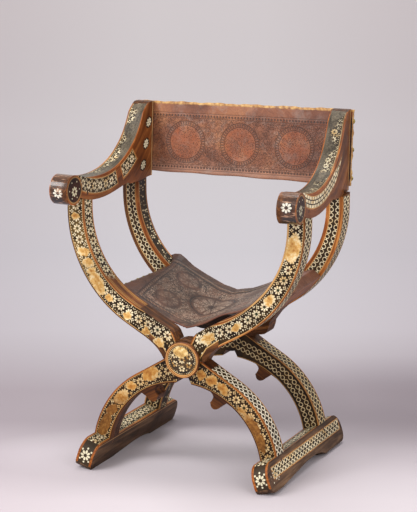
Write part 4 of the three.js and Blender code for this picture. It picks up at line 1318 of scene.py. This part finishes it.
@dataclass
class SeatRails:
    """The two boards that carry the seat leather."""

    def build(self) -> None:
        """Dress both rails, with painted shade on their upper faces under the leather."""
        bench = Bench("rail_walnut")
        x, y, z = bench.split(bench.place)
        wood, grain = Grain(Wood.POST, 6.0, 90.0).colour(y, x, z)
        worn = bench.cloud(40.0, 4.0, 0.6)
        colour = bench.shade(worn.between(0.5, 0.3) * 0.5, wood, "2a1a10")
        _, ny, nz = bench.split(bench.facing)
        # painted shade: the rails' upper and inner faces, under the seat leather, turn near-black
        colour = bench.mix((nz > 0.05) * (ny > -0.5) * 0.9, colour, "140b06")
        material = bench.finish(colour, worn * 0.3 + 0.42, grain * 0.5 + worn * 0.4, 0.0008)
        for name in ("left_seat_rail", "right_seat_rail"):
            dress(name, material)
        log.info("seat rails: 2 dressed")


@dataclass
class HipFittings:
    """The bosses, pins and washers on the hip's axis."""

    height: float = 0.310
    field_radius: float = 0.0415
    star_circle: float = 0.0225
    bead_circle: float = 0.036
    bead_count: int = 44

    def boss_material(self) -> bpy.types.Material:
        """Make the inlaid finish of the bosses.

        Returns:
            The finish.
        """
        bench = Bench("boss_inlay")
        x, y, z = bench.split(bench.place)
        _, ny, _ = bench.split(bench.facing)
        rise = z - self.height
        reach = x.length(rise)
        around = rise.turn(x)
        worn = bench.cloud(45.0, 4.0, 0.6)
        wood, grain = Grain(Wood.WALNUT, 40.0, 60.0).colour(x, rise, y)
        edge, _ = Grain(Wood.EDGE, 40.0, 90.0).colour(x, rise, y)
        field_tone = bench.mix(worn.between(0.35, 0.7), "0f0b07", "4a3519")
        colour = bench.mix((self.field_radius - reach).soft(), bench.mix(0.55, edge, wood), field_tone)
        inlay = Inlay()
        star = inlay.star(x, rise, 0.0098)
        ring_of_six = (around * self.star_circle).repeat(self.star_circle * math.tau / 6)
        petals = inlay.star(ring_of_six, reach - self.star_circle, 0.0088, 6)
        chips, own = inlay.scatter(x, rise, 190.0, 0.36)
        bead_row = (around * self.bead_circle).repeat(self.bead_circle * math.tau / self.bead_count)
        beads = inlay.dots(bead_row, reach - 0.0368, 0.0013)
        chips = chips * (reach > 0.0105) * (petals.reach > 0.0100) * (reach < 0.0345)
        bone = star.petals.most(petals.petals).most(beads).most(chips) * (worn - 0.3).soft(0.08)
        tint = bench.cloud(55.0, 2.0)
        pale = bench.mix((own * 0.6).most(tint.between(0.45, 0.6)), "ecdcb0", "9c7236")
        colour = bench.mix(bone, colour, pale)
        for circle, stroke in ((0.0405, 0.0009), (0.0440, 0.0008)):
            colour = bench.mix((reach - circle).line(stroke), colour, "d09a58")
        cloud = bench.cloud(90.0, 3.0)
        from_patch = ((x + 0.004) / 0.020).length((rise - 0.021) / 0.014)
        patch = (1.0 - from_patch + (cloud - 0.5) * 0.9).soft(0.2)
        gold = bench.ramp(cloud, (0.3, "94682f"), (0.5, "cda762"), (0.7, "ecd9a4"))
        colour = bench.mix(patch * (ny < -0.5), colour, gold)
        colour = bench.mix(abs(ny) < 0.5, colour, wood)
        height = grain * 0.2 + bone * 0.5 + worn * 0.3
        rough = worn * 0.25 + 0.34
        return bench.finish(colour, rough, height, 0.0006, fixed={"Specular IOR Level": 0.3})

    def iron_material(self) -> bpy.types.Material:
        """Make the finish of the forged pins and washers.

        Returns:
            The finish.
        """
        bench = Bench("forged_iron")
        rust = bench.cloud(160.0, 5.0, 0.65)
        pits, _ = bench.cells(bench.place, 420.0)
        colour = bench.ramp(rust, (0.35, "24211f"), (0.55, "3f3a36"), (0.7, "6a4026"))
        rough = rust.between(0.3, 0.7) * 0.4 + 0.38
        metal = rust.between(0.66, 0.5)
        return bench.finish(colour, rough, rust * 0.7 + pits * 0.3, 0.0005, metal=metal)

    def build(self) -> None:
        """Dress the hip's fittings."""
        boss = self.boss_material()
        iron = self.iron_material()
        for end in ("front", "back"):
            dress(f"{end}_boss", boss)
            dress(f"{end}_hip_pin", iron)
            dress(f"{end}_hip_washer", iron)
        log.info("hip fittings: 6 dressed")


@dataclass
class Fastenings:
    """The wooden pegs and the domed studs."""

    def build(self) -> None:
        """Dress the pegs and studs."""
        bench = Bench("peg_end_grain")
        rings = bench.cloud(240.0, 4.0, 0.6, 1.5)
        colour = bench.ramp(rings, (0.3, "24140c"), (0.5, "4b2c18"), (0.72, "7b4c2a"))
        peg = bench.finish(colour, rings * 0.2 + 0.5, rings, 0.0005)
        bench = Bench("worn_brass")
        tarnish = bench.cloud(130.0, 4.0, 0.62)
        dents, _ = bench.cells(bench.place, 260.0)
        colour = bench.ramp(tarnish, (0.32, "3c3a1e"), (0.5, "8a7c3e"), (0.68, "c9b063"))
        brass = bench.finish(colour, tarnish.between(0.7, 0.3) * 0.35 + 0.24,
                             tarnish * 0.6 + dents * 0.4, 0.0005, metal=0.9)
        count = 0
        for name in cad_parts:
            if name.endswith("_peg"):
                dress(name, peg)
                count += 1
            elif "_stud_" in name:
                dress(name, brass)
                count += 1
        log.info("fastenings: %d dressed", count)


def smooth(piece: bpy.types.Object) -> None:
    """Let the light run evenly over a piece's faces."""
    for face in piece.data.polygons:
        face.use_smooth = True


def join_rings(made: bmesh.types.BMesh, rings: Sequence[Sequence[bmesh.types.BMVert]]) -> None:
    """Close the wall between each ring of points and the next.

    Args:
        made: The mesh that takes the faces.
        rings: Rings with as many points each.
    """
    for low, high in zip(rings, rings[1:]):
        for i, point in enumerate(low):
            after = (i + 1) % len(low)
            made.faces.new((point, low[after], high[after], high[i]))


def mesh_piece(name: str, made: bmesh.types.BMesh) -> bpy.types.Object:
    """Turn mesh data into a smooth piece of the scene.

    Args:
        name: The piece's name.
        made: Its mesh, which is used up.

    Returns:
        The piece.
    """
    bmesh.ops.recalc_face_normals(made, faces=made.faces)
    data = bpy.data.meshes.new(name)
    made.to_mesh(data)
    made.free()
    piece = bpy.data.objects.new(name, data)
    bpy.context.scene.collection.objects.link(piece)
    smooth(piece)
    return piece


def keep_modifiers(piece: bpy.types.Object) -> None:
    """Make a piece's modifiers part of its mesh.

    Args:
        piece: The piece.
    """
    bpy.context.view_layer.update()
    seen = piece.evaluated_get(bpy.context.evaluated_depsgraph_get())
    data = bpy.data.meshes.new_from_object(seen)
    piece.modifiers.clear()
    piece.data = data


def thicken(piece: bpy.types.Object, thickness: float) -> None:
    """Give an open sheet its thickness, backwards from its surface.

    Args:
        piece: The sheet.
        thickness: How thick the leather is.
    """
    normal = piece.data.polygons[len(piece.data.polygons) // 2].normal
    offset = 1.0 if normal.y > 0 else -1.0
    shell = piece.modifiers.new("thickness", "SOLIDIFY")
    shell.thickness = thickness
    shell.offset = offset
    keep_modifiers(piece)
    smooth(piece)


def note_rest(piece: bpy.types.Object) -> None:
    """Keep each point's place at rest, so that the finish stays where it is when the piece bends."""
    noted = piece.data.attributes.new(REST_PLACE, "FLOAT_VECTOR", "POINT")
    places = [part for vertex in piece.data.vertices for part in vertex.co]
    noted.data.foreach_set("vector", places)


@dataclass
class BackLeather:
    """The tooled leather that hangs behind the posts."""

    half_width: float = 0.3145
    bottom: float = 0.726
    top_left: float = 0.916
    top_right: float = 0.926
    thickness: float = 0.0032
    columns: int = 120
    rows: int = 36
    post_foot: tuple[float, float] = (0.186, 0.7142)
    post_head: tuple[float, float] = (0.198, 0.917)
    toe: float = math.atan2(0.021, 0.337)
    toe_from: float = -0.2195
    post_half: float = 0.0235
    air: float = 0.0006

    def surface(self, x: float, share: float) -> Vector:
        """A point of the leather's front.

        Args:
            x: Place across the chair.
            share: Share of the way up.

        Returns:
            The point.
        """
        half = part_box("back_leather")[1].x
        side = (half - x) / (2 * half)
        top = self.top_right + (self.top_left - self.top_right) * side
        top += 0.0009 * math.sin(x * 61) + 0.0006 * math.sin(x * 173 + 1)
        low = self.bottom + 0.0008 * math.sin(x * 47 + 2)
        z = low + (top - low) * share
        base = self.post_back(z)
        swell = 0.005 * math.cos(min(1.0, abs(x) / 0.264) * math.pi / 2)
        ripple = 0.0007 * math.sin(x * 33 + z * 20)
        return Vector((x, base + swell + ripple * 0.6, z))

    def post_back(self, z: float) -> float:
        """Place of the posts' back faces at a height."""
        (foot_y, foot_z), (head_y, head_z) = self.post_foot, self.post_head
        straight = foot_y + (head_y - foot_y) * (z - foot_z) / (head_z - foot_z)
        turned = self.toe_from + (straight - self.toe_from) * math.cos(self.toe)
        return turned + self.post_half * math.sin(self.toe) + self.air

    def build(self) -> bpy.types.Object:
        """Build and dress the leather.

        Returns:
            The piece.
        """
        made = bmesh.new()
        grid = []
        for i in range(self.columns + 1):
            x = self.half_width * (1 - 2 * i / self.columns)
            column = []
            for j in range(self.rows + 1):
                share = j / self.rows
                point = self.surface(x, share)
                end = max(0.0, abs(x) / self.half_width - 0.97) / 0.03
                wave = 0.0016 * math.sin(share * 23 + 1.3) + 0.0009 * math.sin(share * 61)
                point.x += math.copysign(end * (wave - 0.0012), x)
                column.append(made.verts.new(point))
            grid.append(column)
        for i in range(self.columns):
            for j in range(self.rows):
                made.faces.new((grid[i][j], grid[i + 1][j], grid[i + 1][j + 1], grid[i][j + 1]))
        piece = mesh_piece("back_leather_hide", made)
        thicken(piece, self.thickness)
        note_rest(piece)
        dress(piece, BackTooling().material())
        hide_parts("back_leather")
        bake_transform(piece)
        log.info("back leather: %d points", len(piece.data.vertices))
        return piece


@dataclass(frozen=True)
class Hide:
    """Old tooled leather."""

    dark: str
    middle: str
    light: str
    bloom: str

    def colour(self, bench: Bench) -> tuple[Socket, Flow]:
        """Draw the hide without its tooling.

        Args:
            bench: The material's bench.

        Returns:
            The colour and the creases' height.
        """
        cloud = bench.cloud(13.0, 5.0, 0.62, 0.6)
        fine = bench.cloud(260.0, 4.0, 0.65)
        pores, _ = bench.cells(bench.place, 900.0)
        base = bench.ramp(
            cloud * 0.8 + fine * 0.25, (0.32, self.dark), (0.52, self.middle), (0.7, self.light))
        rub = bench.cloud(22.0, 5.0, 0.7, 1.2)
        base = bench.mix(rub.between(0.5, 0.72) * 0.55, base, self.bloom)
        return base, fine * 0.6 + pores * 0.4


@dataclass(frozen=True)
class BackTooling:
    """Finish of the back leather: three tooled roundels between dotted borders."""

    height: float = 0.812
    pitch: float = 0.159
    middle: float = -0.007
    radius: float = 0.0515
    lean: float = 0.012
    bead_count: int = 46
    rows: tuple[float, float] = (0.8835, 0.7435)
    top: float = 0.9185
    end: float = 0.3128
    slit: float = 0.3096

    def material(self) -> bpy.types.Material:
        """Make the finish.

        Returns:
            The finish.
        """
        bench = Bench("tooled_back_leather", bends=True)
        x, _, z = bench.split(bench.place)
        _, ny, _ = bench.split(bench.facing)
        is_front = ny < 0.3
        hide, skin = Hide("4c2817", "814c31", "a46b45", "988377").colour(bench)
        a = (x - self.middle).repeat(self.pitch, 0.5)
        inside = abs(x - self.middle) < self.pitch * 1.5
        b = z - self.height - x * self.lean
        reach = a.length(b)
        around = b.turn(a)
        disc = (self.radius - 0.006 - reach).soft(0.014) * inside * is_front
        glow = bench.cloud(30.0, 4.0, 0.6)
        colour = bench.mix(disc * glow.between(0.3, 0.7) * 0.72, hide, "9c4a1a")
        rim = (abs(reach - self.radius) - 0.0052).line(0.0010, 0.001) * inside
        ticks = (around * self.radius).repeat(self.radius * math.tau / self.bead_count)
        beads = ticks.line(0.0021, 0.001) * (reach - self.radius).line(0.0031, 0.001) * inside
        petals = abs(bench.math("SINE", around * 8.0)) * (reach - 0.024).line(0.014, 0.004)
        stipple, _ = bench.cells(bench.place, 250.0, 0.7)
        inner_dots = (0.34 - stipple).soft(0.2) * (0.046 - reach).soft(0.004) * inside
        scroll = bench.cloud(70.0, 2.0, 0.5, 2.5)
        vines = (scroll - 0.5).line(0.034, 0.02) * (reach - self.radius - 0.003).soft(0.002)
        field_share = (z - self.height).line(0.069, 0.004)
        tooled = rim.most(beads * 0.85).most(inner_dots * 0.85)
        tooled = tooled.most(petals * disc * 0.25).most(vines * field_share * 0.75)
        for place in self.rows:
            off_row = z - place - x * self.lean
            tooled = tooled.most(Inlay().dots(x.repeat(0.0088), off_row, 0.0028))
            tooled = tooled.most((abs(off_row) - 0.0068).line(0.0010, 0.0008) * 0.6)
        tooled = tooled * is_front
        low = z.between(0.765, 0.735)
        colour = bench.mix(low * 0.45, colour, "b58a74")
        colour = bench.mix(tooled * 0.8, colour, "331c12")
        colour = bench.shade(x.between(0.05, 0.30) * 0.5, colour, "b08a70")
        top = z - self.top - x * 0.0165
        ragged = bench.cloud(90.0, 3.0)
        raw = (top + (ragged - 0.5) * 0.003 + 0.0040).soft(0.002)
        cut = (abs(x) - self.end + (ragged - 0.5) * 0.002).soft(0.001)
        # painted shade: a near-black slit down each end of the leather
        slit = (abs(x) - self.slit).line(0.0031, 0.001) * abs(z - 0.822).between(0.088, 0.078)
        ochre = bench.ramp(ragged, (0.3, "754a24"), (0.5, "ad7c3e"), (0.7, "cfa868"))
        colour = bench.mix(raw.most(cut), colour, ochre)
        colour = bench.mix(slit * 0.9, colour, NEAR_BLACK)
        rough = glow.between(0.3, 0.7) * 0.16 + 0.42
        height = skin * 0.25 + (1.0 - tooled) * 0.75
        return bench.finish(colour, rough, height, 0.0009, fixed={
            "Specular IOR Level": 0.5, "Sheen Weight": 0.06, "Sheen Roughness": 0.4,
        })


@dataclass(frozen=True)
class SeatTooling:
    """Finish of the seat leather: a bordered field with tooled roundels, much worn."""

    middle_x: float = -0.01
    middle_y: float = 0.028
    half_field: tuple[float, float] = (0.150, 0.108)
    corner: tuple[float, float] = (0.100, 0.064)
    front_y: float = -0.118
    back_y: float = 0.176
    furrows: tuple[float, float] = (0.134, 0.152)
    crest: float = 0.143

    def material(self) -> bpy.types.Material:
        """Make the finish.

        Returns:
            The finish.
        """
        bench = Bench("tooled_seat_leather", bends=True)
        x, y, _ = bench.split(bench.place)
        hide, skin = Hide("1e110a", "4a3021", "7a523d", "917460").colour(bench)
        along = x - self.middle_x
        across = y - self.middle_y
        box = (self.half_field[0] - abs(along)).least(self.half_field[1] - abs(across))
        wear = bench.cloud(16.0, 4.0, 0.6)
        kept = wear.between(0.72, 0.42)
        reach = (along * 0.9).length(across)
        around = across.turn(along)
        stipple, _ = bench.cells(bench.place, 210.0, 0.9)
        grains = (0.42 - stipple).soft(0.25)
        scroll = bench.cloud(42.0, 2.0, 0.5, 2.8)
        leaves = (abs(scroll - 0.5) - 0.035).soft(0.03)
        field_share = box.soft(0.006)
        petals = (abs(bench.math("COSINE", around * 6.0)) - 0.35).soft(0.3)
        rosette = petals * (0.046 - reach).soft(0.004) * (reach - 0.012).soft(0.003)
        small_a, small_b = abs(along) - self.corner[0], abs(across) - self.corner[1]
        small_reach = small_a.length(small_b)
        small_petals = (abs(bench.math("COSINE", small_b.turn(small_a) * 4.0)) - 0.35).soft(0.3)
        small = small_petals * (0.026 - small_reach).soft(0.003) * (small_reach - 0.007).soft(0.002)
        rosette = rosette.most(small * 0.6)
        outside = (reach - 0.062).soft(0.003) * (small_reach - 0.036).soft(0.003)
        raised = (leaves * outside).most(rosette) * field_share
        # the raised tooling is lightened: partly the leather's grey bloom, partly painted highlight
        raised_bloom_and_highlight = raised * (grains * 0.75 + 0.25) * kept
        beads = Inlay().dots((along + across).repeat(0.0098), abs(box + 0.007), 0.0030)
        lines = (abs(box + 0.007) - 0.0062).line(0.0016, 0.001)
        rings = (reach - 0.054).line(0.0020, 0.001)
        rings = rings.most((small_reach - 0.031).line(0.0016, 0.001) * 0.5)
        tooled = lines.most(rings).most((1.0 - leaves) * outside * field_share * 0.8) * kept
        colour = bench.mix(tooled * 0.88, hide, "170c06")
        colour = bench.mix(raised_bloom_and_highlight * 0.75, colour, "bfae9f")
        colour = bench.mix(beads * kept * 0.5, colour, "a8947f")
        edge = (y - self.front_y).least(self.back_y - y)
        colour = bench.mix((0.004 - edge).soft(0.003) * 0.7, colour, "6b3a26")
        bow = (wear - 0.5) * 0.008
        fold = (y - self.furrows[0] + bow).line(0.0022, 0.002)
        fold = fold.most((y - self.furrows[1] + bow).line(0.0016, 0.002) * 0.7)
        # painted shade in the two furrows
        colour = bench.mix(fold * 0.8, colour, "1d110a")
        crest = (y - self.crest + bow).line(0.0030, 0.003)
        colour = bench.mix(crest * 0.4, colour, "937e6e")
        high = abs(x).between(0.16, 0.21)
        colour = bench.mix(high * 0.45, colour, "7a4630")
        colour = bench.shade(0.85, colour, "f2e3d4")
        colour = bench.shade(x.between(-0.04, -0.15) * 0.55, colour, "8f7a6e")
        rough = wear.between(0.3, 0.7) * 0.2 + 0.4
        height = skin * 0.3 + (1.0 - tooled) * 0.6 + raised_bloom_and_highlight * 0.3 + (1.0 - fold) * 0.3
        return bench.finish(colour, rough, height, 0.0013, fixed={
            "Specular IOR Level": 0.4, "Sheen Weight": 0.05, "Sheen Roughness": 0.4,
        })


@dataclass
class SeatLeather:
    """The deep sling of leather between the rails."""

    voxel: float = 0.0024
    flat_width: float = 0.295
    ridge_y: float = 0.142
    ridge_rise: float = 0.0022
    lift_x: float = 0.085
    lift_rise: float = 0.010

    def build(self) -> bpy.types.Object:
        """Build and dress the sling.

        Returns:
            The piece.
        """
        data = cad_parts["seat_leather"].data.copy()
        piece = bpy.data.objects.new("seat_leather_hide", data)
        bpy.context.scene.collection.objects.link(piece)
        shell = piece.modifiers.new("even", "REMESH")
        shell.mode = "VOXEL"
        shell.voxel_size = self.voxel
        ease = piece.modifiers.new("ease", "SMOOTH")
        ease.factor = 0.5
        ease.iterations = 3
        keep_modifiers(piece)
        for vertex in piece.data.vertices:
            x, y, _ = vertex.co
            ridge = math.exp(-((y - self.ridge_y) / 0.006) ** 2) * max(0.0, 1 - (abs(x) / 0.19) ** 4)
            sway = 0.0012 * math.sin(x * 38 + y * 11) + 0.0010 * math.sin(y * 46 - x * 17)
            hold = max(0.0, 1 - (abs(x) / 0.2) ** 2)
            ahead = max(0.0, min(1.0, (-0.02 - y) / 0.09))
            lift = math.exp(-((x - self.lift_x) / 0.045) ** 2) * ahead
            vertex.co.z += self.ridge_rise * ridge + sway * hold + self.lift_rise * lift
        smooth(piece)
        note_rest(piece)
        dress(piece, SeatTooling().material())
        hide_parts("seat_leather")
        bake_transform(piece)
        return piece


@dataclass
class BackStuds:
    """Six fluted brass heads that hold the back leather on the posts."""

    place_x: float = 0.3118
    radius: float = 0.0078
    sunk: float = 0.0004
    sectors: int = 40
    steps: int = 7
    flutes: int = 9
    flute_depth: float = 0.11

    def head(self, name: str) -> None:
        """Build one head in place of its plain solid.

        Args:
            name: The plain solid's node.
        """
        lowest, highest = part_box(name)
        side = math.copysign(1.0, lowest.x)
        centre = Vector((side * self.place_x, lowest.y - self.sunk, (lowest.z + highest.z) / 2))
        depth = highest.y - lowest.y + self.sunk
        made = bmesh.new()
        rings = []
        for step in range(self.steps + 1):
            swing = 0.5 * math.pi * 0.94 * step / self.steps
            ring = []
            for i in range(self.sectors):
                angle = math.tau * i / self.sectors
                flute = self.flute_depth * abs(math.sin(angle * self.flutes / 2)) * math.sin(2 * swing)
                reach = self.radius * math.cos(swing) * (1.0 - flute)
                ring.append(made.verts.new(centre + Vector((
                    reach * math.cos(angle), depth * math.sin(swing), reach * math.sin(angle),
                ))))
            rings.append(ring)
        join_rings(made, rings)
        made.faces.new(rings[0])
        made.faces.new(rings[-1])
        piece = mesh_piece(f"{name}_head", made)
        dress(piece, bpy.data.materials["worn_brass"])
        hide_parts(name)
        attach(piece, "left_arm_half" if side < 0 else "right_arm_half")

    def build(self) -> None:
        """Build the six heads."""
        names = [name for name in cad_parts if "_stud_" in name]
        for name in names:
            self.head(name)
        log.info("back studs: %d heads", len(names))


@dataclass
class SeatTacks:
    """Small domed tacks that hold the seat leather on its rails."""

    left_x: tuple[float, float] = (-0.219, -0.203)
    right_x: tuple[float, float] = (0.199, 0.199)
    first_y: float = -0.104
    last_y: float = 0.112
    count: int = 8
    radius: float = 0.0036
    rise: float = 0.0018
    sunk: float = 0.0004
    sectors: int = 14
    steps: int = 4

    def dome(self, made: bmesh.types.BMesh, foot: Vector, up: Vector) -> None:
        """Add one domed head.

        Args:
            made: The mesh that takes it.
            foot: Its place on the leather.
            up: The leather's facing there.
        """
        turn = up.to_track_quat("Z", "Y")
        rings = []
        for step in range(self.steps):
            swing = math.pi / 2 * step / self.steps
            reach, height = self.radius * math.cos(swing), self.rise * math.sin(swing) - self.sunk
            rings.append([made.verts.new(foot + turn @ Vector((
                reach * math.cos(math.tau * i / self.sectors),
                reach * math.sin(math.tau * i / self.sectors),
                height,
            ))) for i in range(self.sectors)])
        tip = made.verts.new(foot + turn @ Vector((0.0, 0.0, self.rise - self.sunk)))
        join_rings(made, rings)
        for i in range(self.sectors):
            made.faces.new((rings[-1][i], rings[-1][(i + 1) % self.sectors], tip))
        made.faces.new(list(reversed(rings[0])))

    def build(self, hide: bpy.types.Object) -> None:
        """Set both rows of tacks on the leather.

        Args:
            hide: The seat leather.
        """
        brass = bpy.data.materials["worn_brass"]
        for side, (first_x, last_x) in (("left", self.left_x), ("right", self.right_x)):
            made = bmesh.new()
            for i in range(self.count):
                share = i / (self.count - 1)
                above = Vector((first_x + (last_x - first_x) * share,
                                self.first_y + (self.last_y - self.first_y) * share, 0.7))
                found, foot, up, _ = hide.ray_cast(above, Vector((0.0, 0.0, -1.0)))
                assert found, f"no leather under tack {i} at the {side}"
                self.dome(made, foot, up)
            piece = mesh_piece(f"{side}_seat_tacks", made)
            dress(piece, brass)
            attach(piece, f"{side}_arm_half")
        log.info("seat tacks: 2 rows of %d", self.count)


@dataclass
class Studio:
    """Floor, backdrop, lamps and camera."""

    aim: tuple[float, float, float] = (0.0, 0.0105, 0.4871)
    azimuth: float = math.radians(24.30)
    pitch: float = math.radians(12.89)
    distance: float = 5.186
    focal_pixels: float = 1969.0
    frame_pixels: tuple[int, int] = (417, 512)
    centre_pixels: tuple[float, float] = (213.4, 277.4)
    floor_reach: float = 45.0
    lamps_aim: tuple[float, float, float] = (0.0, 0.0, 0.45)
    world_tone: str = "eeeded"
    world_power: float = 0.82
    lamps: list = field(default_factory=lambda: [
        ("key", (-1.9, -2.6, 3.1), 2.2, 115.0),
        ("fill", (3.2, -2.4, 1.9), 2.6, 57.0),
        ("top", (0.2, 0.9, 3.6), 2.0, 50.0),
        ("front", (-1.5, -3.4, 1.3), 0.8, 22.0),
    ])

    def camera(self) -> None:
        """Set the camera at the photograph's viewing angle."""
        a, p = self.azimuth, self.pitch
        back = Vector((math.sin(a) * math.cos(p), -math.cos(a) * math.cos(p), math.sin(p)))
        data = bpy.data.cameras.new("camera")
        width, height = self.frame_pixels
        data.sensor_fit = "VERTICAL"
        data.sensor_height = 36.0
        data.lens = self.focal_pixels * data.sensor_height / height
        data.shift_x = (width / 2 - self.centre_pixels[0]) / height
        data.shift_y = (self.centre_pixels[1] - height / 2) / height
        view = bpy.data.objects.new("camera", data)
        bpy.context.scene.collection.objects.link(view)
        view.location = Vector(self.aim) + back * self.distance
        view.rotation_euler = back.to_track_quat("Z", "Y").to_euler()
        bpy.context.scene.camera = view

    def lights(self) -> None:
        """Set soft lamps and a plain world."""
        for name, place, size, power in self.lamps:
            data = bpy.data.lights.new(name, "AREA")
            data.shape = "DISK"
            data.size = size
            data.energy = power
            lamp = bpy.data.objects.new(name, data)
            bpy.context.scene.collection.objects.link(lamp)
            lamp.location = place
            away = Vector(place) - Vector(self.lamps_aim)
            lamp.rotation_euler = away.to_track_quat("Z", "Y").to_euler()
        world = bpy.data.worlds.new("studio")
        world.use_nodes = True
        background = world.node_tree.nodes["Background"]
        background.inputs[0].default_value = tone(self.world_tone)
        background.inputs[1].default_value = self.world_power
        bpy.context.scene.world = world

    def backdrop(self) -> None:
        """Lay the wide paper floor, with painted light and shade that follow how far it lies from the
        camera.
        """
        made = bmesh.new()
        reach = self.floor_reach
        made.faces.new([made.verts.new((x, y, 0.0)) for x, y in (
            (-reach, -reach), (reach, -reach), (reach, reach), (-reach, reach))])
        piece = mesh_piece("studio_floor", made)
        bench = Bench("paper_floor")
        x, y, _ = bench.split(bench.place)
        stand = self.distance * math.cos(self.pitch)
        eye = self.aim[2] + self.distance * math.sin(self.pitch)
        away = (y * math.cos(self.azimuth) - x * math.sin(self.azimuth) + stand).most(0.5)
        sideways = x * math.cos(self.azimuth) + y * math.sin(self.azimuth)
        # painted light and shade: the floor's tone follows how far it lies from the camera, with a
        # darker band behind the chair
        band = bench.ramp((eye / away).between(0.085, 0.357),
                          (0.02, "f4ecee"), (0.244, "ebe5e8"), (0.475, "c9c5ca"),
                          (0.632, "bbb6bb"), (0.753, "a0979c"), (0.814, "9f969b"),
                          (0.875, "b9b0b5"), (0.977, "c8bfc3"))
        # painted shade towards the sides of the picture
        edge = abs(sideways / away + 0.004).between(0.03, 0.12) * away.between(2.5, 4.2)
        edge = edge * (1.0 - away.between(5.3, 4.8) * sideways.between(0.1, 0.4))
        band = bench.shade(edge * 0.45, band, "e0d8db")
        # painted shadow: a darker band on the floor behind the chair, towards the right
        far_side_shadow = (away - 5.6).line(0.32, 0.32) * sideways.between(-0.3, 0.55)
        band = bench.shade(far_side_shadow * 0.45, band, "cfcdd0")
        # painted shadow of the chair on the floor under and behind it
        under = ((away - 5.62) * 0.8).length(sideways + 0.02).between(0.44, 0.10)
        band = bench.shade(under * 0.55, band, "c9c8ca")
        # painted light: lightens the floor just in front of the chair, over its cast shadow
        lift = ((away - 5.08) * 2.2).length(sideways + 0.10).between(0.55, 0.15)
        band = bench.mix(lift * 0.5, band, "d9d1d6")
        fine = bench.cloud(220.0, 2.0)
        dress(piece, bench.finish(band, 0.9, fine, 0.0002, fixed={"Specular IOR Level": 0.1}))

    def build(self) -> None:
        """Build the studio."""
        self.camera()
        self.lights()
        self.backdrop()
        bpy.context.scene.view_settings.view_transform = "Standard"
        log.info("studio: camera, %d lamps and floor", len(self.lamps))


def main() -> None:
    """Build and dress the chair, piece by piece."""
    logging.basicConfig(level=logging.INFO, format="%(name)s: %(message)s")
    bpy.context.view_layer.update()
    Studio().build()
    for assembly in (CrossedFrames(), Arms(), Runners(), SeatRails(), HipFittings(), Fastenings()):
        assembly.build()
    SeatTacks().build(SeatLeather().build())
    BackLeather().build()
    BackStuds().build()


if __name__ == "__main__":
    main()
